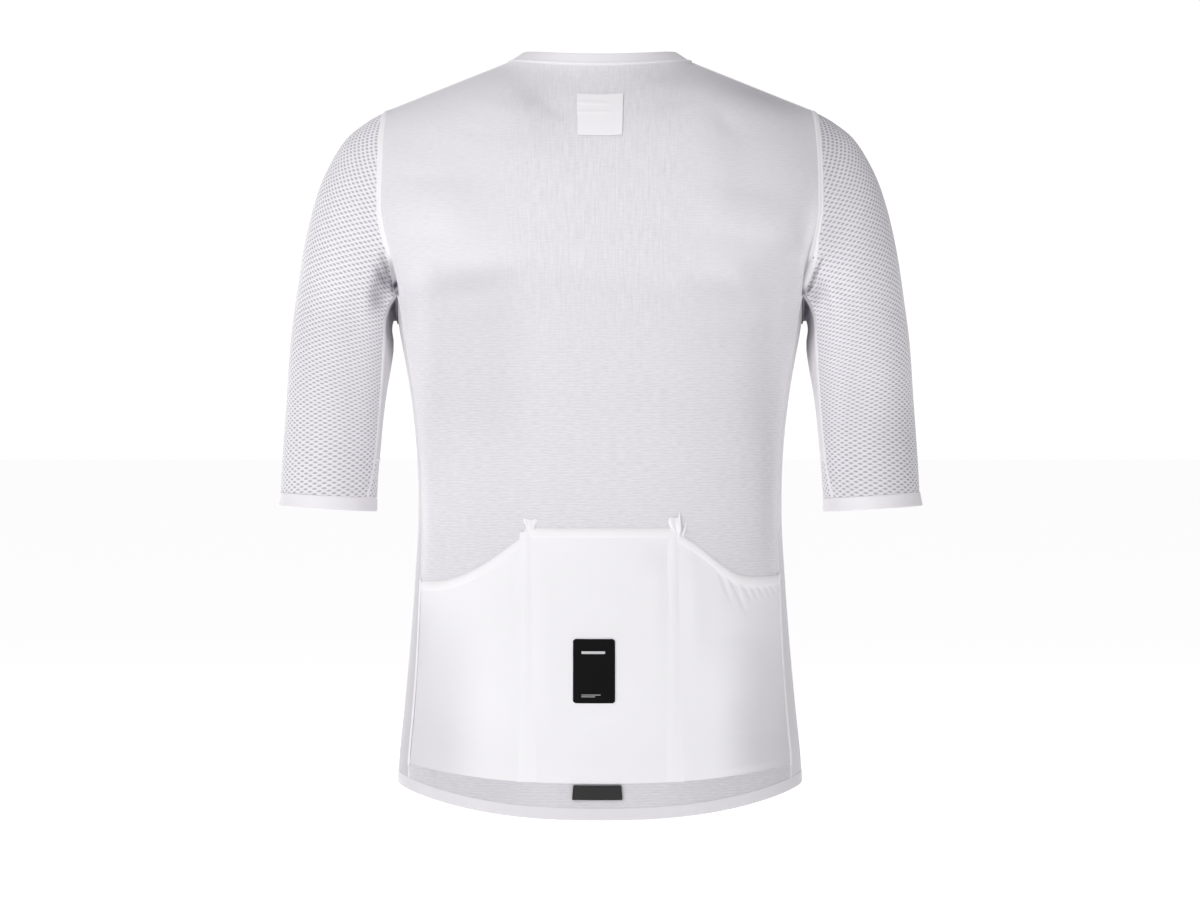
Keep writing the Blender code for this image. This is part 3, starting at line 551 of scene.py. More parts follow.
pieces = {}  # shells that take the place of a node, by that node
edgeTurns = np.radians([30, 60, 90, 120, 150])
sharpAngle = np.radians(52)


def makeShell(name, outer, normal, look, wall, uv=None, hollow=None, node=None, **way):
    # a cloth wall: outer rows up, half a circle over the top edge if high, inner rows down and half a
    # circle round the lower edge if low; closed joins its ends, which are filled otherwise, and flip
    # mirrors it
    high, low, closed = (way.get(key, False) for key in ("high", "low", "closed"))
    uv = clothUv(outer) if uv is None else uv
    outer, normal = (mirrored(part) if way.get("flip") else part.copy() for part in (outer, normal))
    rows, cols = outer.shape[:2]
    rise = unit(outer[-1] - outer[-2])
    drop = unit(outer[0] - outer[1])
    outer[-1] -= rise * wall / 2 * high
    outer[0] -= drop * wall / 2 * low

    def edgeArc(row, away, turns):  # the wall's middle plus half of it times (normal cos + away sin)
        turned = np.cos(turns)[:, None, None] * normal[row] + np.sin(turns)[:, None, None] * away
        return outer[row] - normal[row] * wall / 2 + turned * wall / 2

    def carried(values):  # what holds on the outer rows holds over both edges and on the inner rows
        over = np.repeat(values[-1:], len(edgeTurns) * high, 0)
        under = np.repeat(values[:1], len(edgeTurns) * low, 0)
        return np.concatenate([values, over, values[::-1], under])

    over = edgeArc(-1, rise, edgeTurns[: len(edgeTurns) * high])
    under = edgeArc(0, drop, edgeTurns[::-1][: len(edgeTurns) * low])
    spots = np.concatenate([outer, over, (outer - normal * wall)[::-1], under])
    uvSpots = carried(uv)
    index = np.arange(len(spots) * cols).reshape(-1, cols)
    if closed:
        index = np.concatenate([index, index[:, :1]], 1)
        last = uvSpots[:, :1].copy()
        last[..., 0] = 2 * uvSpots[:, -1:, 0] - uvSpots[:, -2:-1, 0]
        uvSpots = np.concatenate([uvSpots, last], 1)
    uvIndex = np.arange(index.size).reshape(index.shape)
    index, uvIndex = (np.concatenate([grid, grid[:1]]) for grid in (index, uvIndex))
    faces = cells(index).tolist()
    corners = cells(uvIndex).ravel().tolist()
    for line in () if closed else (index[:-1, 0], index[:-1, -1]):
        first = rows + len(over)
        out, back = line[:rows], line[first : first + rows][::-1]
        ends = np.stack([out[:-1], out[1:], back[1:], back[:-1]], -1).tolist()
        if high:
            ends.append(line[rows - 1 : first + 1].tolist())
        if low:
            ends.append(np.append(line[first + rows - 1 :], line[0]).tolist())
        faces += ends
        corners += [corner for end in ends for corner in end]
    mesh = bpy.data.meshes.new(name)
    mesh.from_pydata(spots.reshape(-1, 3).tolist(), [], faces)
    mesh.uv_layers.new(name="cloth").data.foreach_set("uv", uvSpots.reshape(-1, 2)[corners].ravel())
    # painted shade, kept as a point attribute for the cloth's material
    if hollow is not None:
        mesh.attributes.new("hollow", "FLOAT", "POINT").data.foreach_set("value", carried(hollow).ravel())
    made = addPiece(name, mesh, look)
    mesh.shade_smooth()
    mesh.set_sharp_from_angle(angle=sharpAngle)
    if node:
        pieces[node] = made
    return made


def hexColour(code):  # sRGB hex to linear
    value = np.array([int(code[i : i + 2], 16) for i in (1, 3, 5)]) / 255
    linear = np.where(value <= 0.04045, value / 12.92, ((value + 0.055) / 1.055) ** 2.4)
    return (*linear.tolist(), 1.0)


mainSetting = {
    "Math": "operation",
    "MapRange": "interpolation_type",
    "Mix": "data_type",
    "UVMap": "uv_map",
    "Attribute": "attribute_name",
}


def addNode(tree, kind, *values, out=0, **named):
    # one node of a kind, with its main setting after a space, its first inputs in order and others by name,
    # or by number as i6; an input takes a value or a link, and the chosen output comes back
    kind, _, choice = kind.partition(" ")
    made = tree.nodes.new("ShaderNode" + kind)
    if choice:
        setattr(made, mainSetting[kind], choice)
    others = [made.inputs[int(key[1:]) if key[1:].isdigit() else key.replace("_", " ")] for key in named]
    for socket, value in zip([*made.inputs[: len(values)], *others], [*values, *named.values()]):
        if isinstance(value, bpy.types.NodeSocket):
            tree.links.new(value, socket)
        else:
            socket.default_value = value
    return made.outputs[out] if made.outputs else None


def newMaterial(name, colour, **values):  # values by the shader's input names
    made = bpy.data.materials.new(name)
    made.use_nodes = True
    made.diffuse_color = hexColour(colour)
    shader = made.node_tree.nodes["Principled BSDF"]
    values = {"Base_Color": hexColour(colour), "Sheen_Roughness": 0.5, **values}
    for key, value in values.items():
        shader.inputs[key.replace("_", " ")].default_value = value
    return made


def wave(add, along, pitch):  # half of 1 + sin(2 pi along / pitch)
    turned = add("Math SINE", add("Math MULTIPLY", along, 2 * np.pi / pitch))
    return add("Math MULTIPLY_ADD", turned, 0.5, 0.5)


def streaks(add, spot, across, along):  # noise about zero, stretched along one thread direction
    turned = add("Mapping", spot, Scale=(across, along, 1.0))
    return add("Math ADD", add("TexNoise", turned, Scale=1.0, Detail=2.0), -0.5)


def ribKnit(add, spot, across, along, s):
    # fine polyester warp knit: wavy courses 2.6 mm apart, coarser than real so that they show, with uneven
    # threads along them and upright ones over the middle of the upper back, which gives a thin, lightly
    # streaked cloth
    drift = add("TexNoise", spot, Scale=s["driftScale"], Detail=1.0)
    course = add("Math ADD", wave(add, add("Math MULTIPLY_ADD", drift, s["drift"], along), s["pitch"]), -0.5)
    flat, upward = (streaks(add, spot, *s[key]) for key in ("flat", "upward"))
    middle = add("MapRange SMOOTHSTEP", add("Math ABSOLUTE", across), *s["middle"])
    high = add("MapRange SMOOTHSTEP", along, *s["high"])
    level = add("Math MULTIPLY_ADD", course, add("Math MULTIPLY_ADD", high, *s["courseShare"]), 0.5)
    level = add("Math MULTIPLY_ADD", flat, add("Math MULTIPLY_ADD", high, *s["flatShare"]), level)
    upward = add("Math MULTIPLY", upward, add("Math MULTIPLY", middle, high))
    level = add("Math MULTIPLY_ADD", upward, s["upwardShare"], level)
    return level, level


def eyeletMesh(add, spot, across, along, s):
    # polyester eyelet mesh: slots about 4.8 x 1.9 mm with soft rims in a brick layout, 9 mm apart in rows
    # 2.4 mm apart, and puffed ridges between, which gives the sleeves their rows of soft grey dots
    drift = add("TexNoise", spot, Scale=s["driftScale"], Detail=1.0)
    row = add("Math DIVIDE", add("Math MULTIPLY_ADD", drift, s["drift"], along), s["rowPitch"])
    shift = add("Math MULTIPLY", add("Math PINGPONG", add("Math FLOOR", row), 1.0), 0.5)
    place = add("Math ADD", add("Math DIVIDE", across, s["slotPitch"]), shift)
    squares = []
    for cell, share in ((place, s["slotPitch"] / s["slotHalf"]), (row, s["rowPitch"] / s["rowHalf"])):
        away = add("Math MULTIPLY", add("Math SUBTRACT", add("Math FRACT", cell), 0.5), share)
        squares.append(add("Math MULTIPLY", away, away))
    solid = add("MapRange SMOOTHSTEP", add("Math SQRT", add("Math ADD", *squares)), *s["rimOfSlot"])
    return solid, solid


def smoothKnit(add, spot, across, along, s):
    # close lycra tricot: a faint grain about 1 mm apart and slow patches of tone, which gives a smooth,
    # even cloth
    patches = add("TexNoise", spot, Scale=14.0, Detail=3.0)
    grain = add("Math ADD", wave(add, across, s["pitch"]), wave(add, along, s["pitch"]))
    return add("Math MULTIPLY_ADD", grain, 0.12, add("Math MULTIPLY", patches, 0.9)), grain


def elasticBand(add, spot, across, along, s):
    # folded elastic band: fine ribs 1.4 mm apart across it, which gives a close upright grain with a soft
    # sheen
    rib = wave(add, across, s["pitch"])
    patches = add("TexNoise", spot, Scale=22.0, Detail=2.0)
    return add("Math MULTIPLY_ADD", rib, 0.2, add("Math MULTIPLY", patches, 0.9)), rib


def flatlock(add, spot, across, along, s):
    # flatlock seam or woven tape: threads across it 1.1 mm apart and a needle line near each edge, which
    # gives a raised white line with small steps
    height = add("Math MULTIPLY_ADD", wave(add, along, 2 * s["pitch"]), 0.5, wave(add, across, s["pitch"]))
    return add("Math MULTIPLY_ADD", height, 0.5, 0.15), height


# rim: the share of the painted edge highlight, and the facing at which it starts and is full
plainFinish = {"gloss": 0.5, "rim": (0.0, 0.5, 0.95)}
ribFinish = {
    "pattern": ribKnit,
    "roughness": 0.82,
    "sheen": 0.12,
    "rim": (0.5, 0.35, 0.75),
    "bump": (0.5, 0.0001),
    "pitch": 0.0026,
    "drift": 0.0042,
    "driftScale": 34.0,
    "flat": (130.0, 700.0),
    "upward": (560.0, 50.0),
    "middle": (0.12, 0.05),
    "high": (-0.10, 0.02),
    "courseShare": (-0.16, 0.22),
    "flatShare": (-0.5, 1.15),
    "upwardShare": 0.95,
}
eyeletFinish = {
    "pattern": eyeletMesh,
    "roughness": 0.8,
    "sheen": 0.12,
    "rim": (0.3, 0.5, 0.95),
    "bump": (0.65, 0.0008),
    "slotPitch": 0.0090,
    "slotHalf": 0.0024,
    "rowPitch": 0.0024,
    "rowHalf": 0.00095,
    "rimOfSlot": (0.4, 1.3),
    "drift": 0.0012,
    "driftScale": 60.0,
}
smoothFinish = {
    "pattern": smoothKnit,
    "roughness": 0.62,
    "sheen": 0.2,
    "rim": (0.15, 0.5, 0.95),
    "bump": (0.4, 0.00003),
    "pitch": 0.0011,
}
bandFinish = {
    "pattern": elasticBand,
    "roughness": 0.55,
    "sheen": 0.2,
    "bump": (0.4, 0.00004),
    "pitch": 0.0014,
}
lockFinish = {"pattern": flatlock, "roughness": 0.6, "sheen": 0.15, "bump": (0.6, 0.0001), "pitch": 0.0011}
# painted light: the heights between which the painted edge highlight falls to its least share on the
# shoulders, its least share, and the colour of the painted shade
paintedLightSet = {"from": -0.06, "to": -0.15, "least": 0.1, "hollow": "#352A43"}


def clothMaterial(name, finish, dark, light, **own):
    # colour runs from dark to light with the pattern, by the rim share to white where the cloth turns away
    # from the eye, a painted highlight for its fuzz catching the light, less so on the shoulders, and to near
    # black by the painted shade attribute, which darkens the cloth where shade falls
    s = {**plainFinish, **finish, **own}
    values = {"Roughness": s["roughness"], "Sheen_Weight": s["sheen"], "Specular_IOR_Level": s["gloss"]}
    made = newMaterial(name, light, **values)
    tree = made.node_tree
    add = partial(addNode, tree)
    spot = add("UVMap cloth")
    across, along = add("SeparateXYZ", spot, out=slice(0, 2))
    tone, height = s["pattern"](add, spot, across, along, s)
    share, start, end = s["rim"]
    level = add("SeparateXYZ", add("TexCoord", out="Object"), out="Z")
    most = add("MapRange SMOOTHSTEP", level, paintedLightSet["from"], paintedLightSet["to"], paintedLightSet["least"] * share, share)
    edge = add("MapRange SMOOTHSTEP", add("LayerWeight", 0.5, out="Facing"), start, end, 0.0, most)
    hollow = add("Attribute hollow", out="Fac")
    colour = add("Mix RGBA", tone, i6=hexColour(dark), i7=hexColour(light), out=2)
    colour = add("Mix RGBA", edge, i6=colour, i7=(1, 1, 1, 1), out=2)
    colour = add("Mix RGBA", hollow, i6=colour, i7=hexColour(paintedLightSet["hollow"]), out=2)
    strength, distance = s["bump"]
    bump = add("Bump", Strength=strength, Distance=distance, Height=height)
    shader = tree.nodes["Principled BSDF"]
    tree.links.new(colour, shader.inputs["Base Color"])
    tree.links.new(bump, shader.inputs["Normal"])
    return made


knitBack = clothMaterial("ribKnitPolyester", ribFinish, "#D5D3D8", "#EEECF0")
meshSleeve = clothMaterial("eyeletMeshPolyester", eyeletFinish, "#BAB7C0", "#EFEDF1")
knitSide = clothMaterial("smoothKnitGrey", smoothFinish, "#E4E2E6", "#EFEDF0")
knitPocket = clothMaterial("pocketTricotWhite", smoothFinish, "#EFEEF0", "#F6F5F7")
bandWhite = clothMaterial("elasticBandWhite", bandFinish, "#E9E7EA", "#F2F0F2")
collarWhite = clothMaterial("collarBandWhite", bandFinish, "#E6E4E7", "#EEECEF")
mouthWhite = clothMaterial("mouthBandWhite", bandFinish, "#F0EFF1", "#F8F7F8")
hemWhite = clothMaterial("hemBandWhite", bandFinish, "#DBD9DC", "#E4E2E5")
seamWhite = clothMaterial("flatlockThreadWhite", lockFinish, "#EBE9EC", "#FAF9FA")
seamPale = clothMaterial("flatlockThreadPale", lockFinish, "#DFDDE1", "#ECEAEE")
tackWhite = clothMaterial("tackKnitWhite", smoothFinish, "#EFEEF1", "#F8F7F9")
patchWhite = clothMaterial("patchSatinWhite", smoothFinish, "#EFEEF0", "#F7F6F8", pitch=0.0008)
dull = {"pitch": 0.0008, "gloss": 0.1, "sheen": 0.04, "rim": (0.03, 0.5, 0.95)}
labelBlack = clothMaterial("labelTaffetaBlack", smoothFinish, "#0A090A", "#0E0D0E", **dull)
labelGrey = clothMaterial("labelThreadGrey", smoothFinish, "#C4C3C5", "#D2D1D3", pitch=0.0008)
tabGrey = clothMaterial("tabRibbonCharcoal", bandFinish, "#0B0A0B", "#111011")
tapeWhite = clothMaterial("zipTapeWhite", lockFinish, "#E4E3E7", "#F0EFF2")
print("materials made")


# body panels
clothSet = {"wall": 0.0008, "band": 0.0017, "proud": 0.0003, "relaxPasses": 60}


def buildForms():
    # the cloth between the seams: grids, their normals and what a sleeve's normals face away from
    last = sleeveSet["lastRing"]
    split = gridSet["sleeveRows"] // last * sleeveSet["underarmRings"]
    rings = np.linspace(0, last, gridSet["sleeveRows"] + 1)
    half = halfPanel(False)
    back = np.concatenate([mirrored(half)[:, :0:-1], half], 1)
    grids = {
        "back": relaxed(back, gridSet["bodyRows"], clothSet["relaxPasses"]),
        "front": relaxed(halfPanel(True), gridSet["bodyRows"], clothSet["relaxPasses"]),
        "side": sidePanel(),
        "cap": sleeveGrid(rings, capTurns),
        "under": sleeveGrid(rings[: split + 1], gussetTurns),
        "gusset": sleeveGrid(rings[split:], gussetTurns),
    }
    axis = sleeveAxis(rings)
    centres = {"cap": axis, "under": axis[: split + 1], "gusset": axis[split:]}
    return grids, {key: normalsOf(grid, centres.get(key)) for key, grid in grids.items()}, centres


def collarForm(rows):  # the neck loops between the seam and the top edge, from the back's middle to the zip
    share = np.linspace(0, 1, 29)
    turns = np.concatenate([share * np.pi / 2, np.pi / 2 + share[1:] * (neckZipTurn - np.pi / 2)])
    half = np.array([neck(turns, level) for level in np.linspace(0, 1, rows)])
    half[:, -1, 0] = bodySet["zipEdge"]
    return np.concatenate([mirrored(half)[:, :0:-1], half], 1)


grids, normals, centres = buildForms()
collar = collarForm(9)
collarNormal = normalsOf(collar)
above = gridSet["bodyRows"]
wide = gridSet["columns"]
neckCells = wide * bodySet["neckColumns"] // bodySet["columns"]


def shareSeams():  # one normal along every seam, and the back's left half as the mirrored right half
    back, front, side, cap, under, gusset = normals.values()
    half = len(armholeTurns) - 1
    rows = len(under)
    agree(back[above:, -1], cap[0, half:][::-1])
    agree(front[above:, -1], cap[0, : half + 1])
    agree(back[-1, wide + neckCells :], front[-1, neckCells:])
    agree(side[-1], under[0])
    agree(side[:, 0], back[: above + 1, -1])
    agree(side[:, -1], front[: above + 1, -1])
    agree(under[:, 0], cap[:rows, -1])
    agree(under[:, -1], cap[:rows, 0])
    agree(gusset[:, 0], cap[rows - 1 :, -1])
    agree(gusset[:, -1], cap[rows - 1 :, 0])
    agree(under[-1], gusset[0])
    back[:, :wide] = mirrored(back[:, :wide:-1])


shareSeams()


def folded(key, folds, only=1.0):  # a panel with its folds, and new normals inside its rim
    grid, normal = grids[key], normals[key]
    height = foldHeight(grid, folds) * rimFade(grid, 5) * only
    made = grid + normal * height[..., None]
    keep = rimFade(grid, 2)[..., None]
    return made, unit(normalsOf(made, centres.get(key)) * keep + normal * (1 - keep))


def levelRun(grid, middle):  # length round the sleeve at one height, from its outer line
    heights = np.linspace(grid[..., 2].min(), grid[..., 2].max(), 120)
    lines = grid.transpose(1, 0, 2)[:, ::-1]
    cuts = np.array([[np.interp(heights, line[:, 2], line[:, k]) for k in range(3)] for line in lines])
    run = lengthAlong(cuts.transpose(2, 0, 1), 1)
    run = run - run[:, middle][:, None]
    return np.stack([np.interp(line[:, 2], heights, run[:, k]) for k, line in enumerate(lines)], 1)[::-1]


meshSet = {
    "lowTilt": -0.05,
    "highTilt": 0.44,
    "highStretch": 1.25,
    "tiltFoot": -0.32,
    "tiltRange": 0.16,
    "round": 0.015,
}


def eyeletUv(grid):
    # rows level low down, falling towards the armhole's seam higher up, where the mesh is less stretched
    s = meshSet
    middle = (grid.shape[1] - 1) // 2
    run = levelRun(grid, middle)
    outerLine = grid[::-1, middle]
    climb = np.interp(grid[..., 2], outerLine[:, 2], lengthAlong(outerLine, 0))
    climb = climb + np.minimum(grid[..., 2] - outerLine[0, 2], 0)
    high = ramp(grid[..., 2], s["tiltFoot"], s["tiltRange"])
    tilt = s["lowTilt"] + (s["highTilt"] - s["lowTilt"]) * high
    away = np.sqrt(run**2 + s["round"] ** 2) - s["round"]
    return np.stack([run * (1 + (s["highStretch"] - 1) * high), climb + tilt * away], -1)


pocketSet = {
    "centreMouth": -0.3845,
    "band": 0.0092,
    "footCentre": 0.0331,
    "footSide": 0.0228,
    "rest": 0.0011,
    "ease": 0.0004,
    "leastEase": -0.0002,
    "wall": 0.0007,
    "bandWall": 0.0010,
    "bandRest": 0.0003,
    "flush": (0.72, 0.28),
    "mouthFade": 0.002,
    "crown": 0.0004,
    "outer": (0.098, 0.05),
    "shadeTop": -0.42,
    "footShade": 0.03,
    "footShadeAt": (-0.53, -0.06),
}


def pocketFoot(column):  # the hem's height plus a gap that follows cos^2 of the turn
    turn = acrossBack(column, bodySet["hemSide"])
    gap = pocketSet["footSide"] + (pocketSet["footCentre"] - pocketSet["footSide"]) * np.cos(turn) ** 2
    return hemHeight(turn) + gap


# painted shade over wide places: shares, and pairs of a start and a span
backShade = {
    "strip": 0.12,
    "stripOuter": 0.04,
    "stripAt": (0.002, -0.003),
    "outer": (0.05, 0.05),
    "loose": 0.035,
    "looseLeft": 0.07,
    "looseRight": 0.015,
    "looseEnd": (0.144, 0.022),
    "blades": -0.148,
    "bladesTilt": 0.012,
    "tiltReach": 0.08,
    "bladesSpan": -0.022,
    "waistFade": 0.6,
    "waist": (-0.27, -0.07),
}
sleeveShade = {
    "most": 0.9,
    "behind": (-0.008, 0.02),
    "left": 0.065,
    "leftInner": (0.212, 0.02),
    "leftOuter": (0.262, 0.02),
    "leftFade": 0.7,
    "leftBelow": (-0.165, -0.04),
    "shoulder": (-0.17, 0.05),
    "plainHigh": 0.045,
    "seamHigh": 0.13,
    "seamEnd": (0.205, 0.03),
    "plainLow": 0.05,
    "elbow": 0.065,
    "elbowBelow": (-0.22, -0.08),
    "outer": (0.228, 0.03),
    "outerEnd": (-0.25, -0.06),
    "inner": (0.213, 0.015),
    "innerLeast": 0.3,
}
underarmShade = {
    "most": 0.97,
    "reach": 0.202,
    "slope": 0.08,
    "level": -0.17,
    "span": -0.012,
    "down": (-0.215, -0.13),
}
sideShade = (-0.20, -0.22)
# for each side: folds of the front and the sleeve, the sleeve's painted shade lines, and the shares of
# painted shade on the side panel and, at least, on the underarm
unevenSet = {
    "left": {
        "front": frontFoldsLeft,
        "cap": sleeveFoldsLeft,
        "paintedShadeLines": sleevePaintedShadeLinesLeft,
        "side": 0.29,
        "under": 0.12,
    },
    "right": {
        "front": frontFoldsRight,
        "cap": sleeveFoldsRight,
        "paintedShadeLines": sleevePaintedShadeLinesRight,
        "side": 0.12,
        "under": 0,
    },
}


def backPaintedShade(back):
    # painted shade on the strip below the pockets, on the looser cloth below the blades, and along the lines
    # of the table
    s = backShade
    x, z = back[..., 0], back[..., 2]
    foot = pocketFoot(np.concatenate([columns[:0:-1], columns]))
    outer = ramp(np.abs(x), *s["outer"])
    strip = (s["strip"] + s["stripOuter"] * outer) * ramp(z - foot, *s["stripAt"])
    loose = s["loose"] + np.where(x > 0, s["looseLeft"], s["looseRight"]) * outer
    loose = loose * (1 - ramp(np.abs(x), *s["looseEnd"])) * (1 - s["waistFade"] * ramp(z, *s["waist"]))
    start = s["blades"] + s["bladesTilt"] * np.sign(x) * ramp(np.abs(x), 0, s["tiltReach"])
    return strip + loose * ramp(z, start, s["bladesSpan"]) + foldHeight(back, backPaintedShadeLines)


# painted shade on the sleeve
def sleevePaintedShade(cap, side, behind):  # light on the left, wider on the right and darker by its armhole seam
    s = sleeveShade
    x, z = cap[..., 0], cap[..., 2]
    if side == "left":
        away = s["left"] * ramp(x, *s["leftInner"]) * (1 - s["leftFade"] * ramp(x, *s["leftOuter"]))
        away = away * ramp(z, *s["leftBelow"])
    else:
        outer = ramp(x, *s["outer"]) * (1 - ramp(z, *s["outerEnd"]))
        low = (s["plainLow"] + s["elbow"] * ramp(z, *s["elbowBelow"])) * (1 - outer)
        low = low * (s["innerLeast"] + (1 - s["innerLeast"]) * ramp(x, *s["inner"]))
        high = s["plainHigh"] + s["seamHigh"] * (1 - ramp(x, *s["seamEnd"]))
        away = low + (high - low) * ramp(z, *s["shoulder"])
    return np.clip(away + foldHeight(cap, unevenSet[side]["paintedShadeLines"]) * behind, 0, s["most"])


# painted shade under the arm
def underarmPaintedShade(under, least):  # darkest by the torso at the armpit, fading down the arm
    s = underarmShade
    x, z = under[..., 0], under[..., 2]
    inner = ramp(x, s["reach"] + s["slope"] * (z - s["level"]), s["span"])
    return np.maximum(s["most"] * inner * (1 - ramp(z, *s["down"])), least)


def addPanels():  # back, and on both sides front, side, sleeve, underarm and cuff gusset
    wall = clothSet["wall"]
    back, normal = folded("back", backFolds)
    uv = clothUv(back, above, wide)
    makeShell("backPanel", back, normal, knitBack, wall, uv, backPaintedShade(back), "back_panel")
    start, span = sleeveShade["behind"]
    behind = ramp(grids["cap"][..., 1], armholeSet["y"] + start, span)
    side = grids["side"]
    for name, uneven in unevenSet.items():
        front, frontNormal = folded("front", uneven["front"])
        cap, capNormal = folded("cap", uneven["cap"], behind)
        under, underNormal = folded("under", underarmFolds)
        # painted shade on the side panel, darker towards the bottom
        sidePaintedShade = uneven["side"] * ramp(side[..., 2], *sideShade)
        capPaintedShade = sleevePaintedShade(cap, name, behind)
        underPaintedShade = underarmPaintedShade(under, uneven["under"])
        shapes = {
            "front": (front, frontNormal, knitBack, wall, clothUv(front, above)),
            "side": (side, normals["side"], knitSide, wall, clothUv(side, above), sidePaintedShade),
            "sleeve": (cap, capNormal, meshSleeve, wall, eyeletUv(cap), capPaintedShade),
            "underarm": (under, underNormal, knitSide, wall, None, underPaintedShade),
            "cuffGusset": (grids["gusset"], normals["gusset"], meshSleeve, wall),
        }
        for kind, shape in shapes.items():
            node = "cuff_gusset" if kind == "cuffGusset" else kind
            way = {"node": f"{node}_{name}", "flip": name == "right"}
            makeShell(kind + name.capitalize(), *shape, **way)


addPanels()
print("panels made")


# bands: collar, hem, cuffs
def addBands():  # collar, both cuffs and the hem, each a few rows wide
    band, rows = clothSet["band"], 8
    uv = clothUv(collar, 0, (collar.shape[1] - 1) // 2)
    makeShell("collarBand", collar, collarNormal, collarWhite, band, uv, node="collar", high=True)
    last = float(sleeveSet["lastRing"])
    turns = np.concatenate([capTurns(last), gussetTurns(last)[1:-1]])
    grid = ring(np.linspace(0, 2, rows)[:, None], turns[None, :], cuffForm)
    normal = normalsOf(grid, grid.mean(axis=1, keepdims=True), closed=True)
    grid = (grid + normal * clothSet["proud"])[::-1]
    for name in ("left", "right"):
        way = {"node": "cuff_" + name, "flip": name == "right", "low": True, "closed": True}
        makeShell("cuff" + name.capitalize(), grid, normal[::-1], bandWhite, band, **way)
    level = bodySet["hemSide"]
    first, last = edgeDepth(level, "behind"), -edgeDepth(level, "ahead")
    side = turnAtDepth(level, last + (first - last) * np.linspace(0, 1, gridSet["sideColumns"] + 1))
    turns = np.concatenate([acrossFront(columns, level), side[1:-1], acrossBack(columns, level)[::-1]])
    height = hemHeight(turns) + bodySet["hemBand"] * np.linspace(0, 1, rows)[:, None]
    half = torso(height, turns + 0 * height)
    grid = np.concatenate([half, mirrored(half)[:, -2::-1]], 1)
    normal = normalsOf(grid)
    uv = clothUv(grid, 0, (grid.shape[1] - 1) // 2)
    grid = grid + normal * clothSet["proud"]
    makeShell("hemBand", grid, normal, hemWhite, band, uv, node="hem_band", low=True)


addBands()
print("bands made")


def onBack(column, height):  # the back's own surface below the armholes, on either side of its middle
    made = torso(height, acrossBack(np.abs(column), height))
    return np.where((column < 0)[..., None], mirrored(made), made)


# pockets: the mouths' heights from the middle of the back outwards, and the folds below them
mouthForm = table(
    "reach left right",
    (0.0660, -0.3895, -0.3865),
    (0.0893, -0.4066, -0.4012),
    (0.1070, -0.4185, -0.4155),
    (0.1240, -0.4270, -0.4262),
    (0.1398, -0.4319, -0.4290),
    (0.1600, -0.4337, -0.4280),
)
gatherForm = table(
    "reach length width depth",
    (0.1080, 0.026, 0.0026, 0.0016),
    (0.1195, 0.030, 0.0026, 0.0018),
    (0.1295, 0.017, 0.0020, 0.0012),
    (0.1365, 0.015, 0.0018, 0.0012),
    (0.1430, 0.014, 0.0016, 0.0011),
    (0.1490, 0.013, 0.0015, 0.0010),
    (0.1545, 0.011, 0.0014, 0.0008),
)
puckerForm = table(
    "reach length width depth",
    (0.0900, 0.012, 0.0020, 0.0004),
    (0.0965, 0.014, 0.0020, 0.0005),
    (0.1030, 0.012, 0.0020, 0.0004),
)


def gathers(reach, below, form, slant):  # slanting troughs under a mouth band that fade downwards
    total = np.zeros(reach.shape)
    for start, length, width, depth in zip(*form.values()):
        away = (reach - slant * below - start) / width
        fade = soft(1 - below / length) * ramp(below, 0, pocketSet["mouthFade"])
        total -= depth * np.exp(-(away**2)) * fade
    return total


def mouthHeight(column, side):  # the mouth's height at each column, read from its reach
    mouth = mouthForm[side]
    reach = torso(mouth.mean(), acrossBack(column, mouth.mean()))[..., 0]
    return smooth(reach, mouthForm["reach"], mouth)


centreSag = (
    (50, -420, 46, -560, 10, 0.8),
    (-62.5, -398, -62.5, -434, 2.8, -2.2),
    (-50, -410, -50, -500, 8, 0.6),
    (30, -560, -40, -575, 12, -0.5),
    (58, -398, 63.5, -403, 1.4, 0.9),
    (56, -403, 62, -408, 1.2, -0.8),
)
leftSag = (
    (74.5, -410, 75, -450, 4, -1),
    (85, -440, 92, -540, 12, 1),
    (150, -455, 150, -520, 12, -1.2),
    (168, -540, 172, -590, 12, -1.8),
    (150, -540, 120, -570, 14, -1.2),
)
rightSag = (
    (-82, -410, -86, -500, 9, 1.2),
    (-124, -480, -130, -570, 26, 5.6),
    (-150, -600, -110, -606, 10, 0.8),
)
# painted shade lines on the pockets, with the share of painted shade in thousandths at the end
pocketPaintedShadeLines = (
    (-120, -530, -128, -575, 18, 70),
    (164, -450, 170, -520, 14, 80),
    (-36, -402, -60, -420, 14, 45),
    (-85, -425, -150, -455, 16, 30),
)
division = float(bodySet["divisionColumn"])
edge = float(bodySet["columns"])
pocketForms = {
    "centre": {
        "columns": (-division, division, 57),
        "rows": 90,
        "sag": centreSag,
        "shade": 0.0,
        "span": -0.15,
    },
    "left": {"columns": (division, edge, 61), "rows": 80, "sag": leftSag, "shade": 0.17, "span": -0.15},
    "right": {"columns": (-edge, -division, 97), "rows": 110, "sag": rightSag, "shade": 0.22, "span": -0.18},
}
gatherSet = {"left": (puckerForm, 0.1), "right": (gatherForm, 0.45)}
bandRows = np.array([0, 0.12, 0.25, 0.4, 0.55, 0.7, 0.8, 0.87, 0.93, 0.97, 1.0])[:, None]


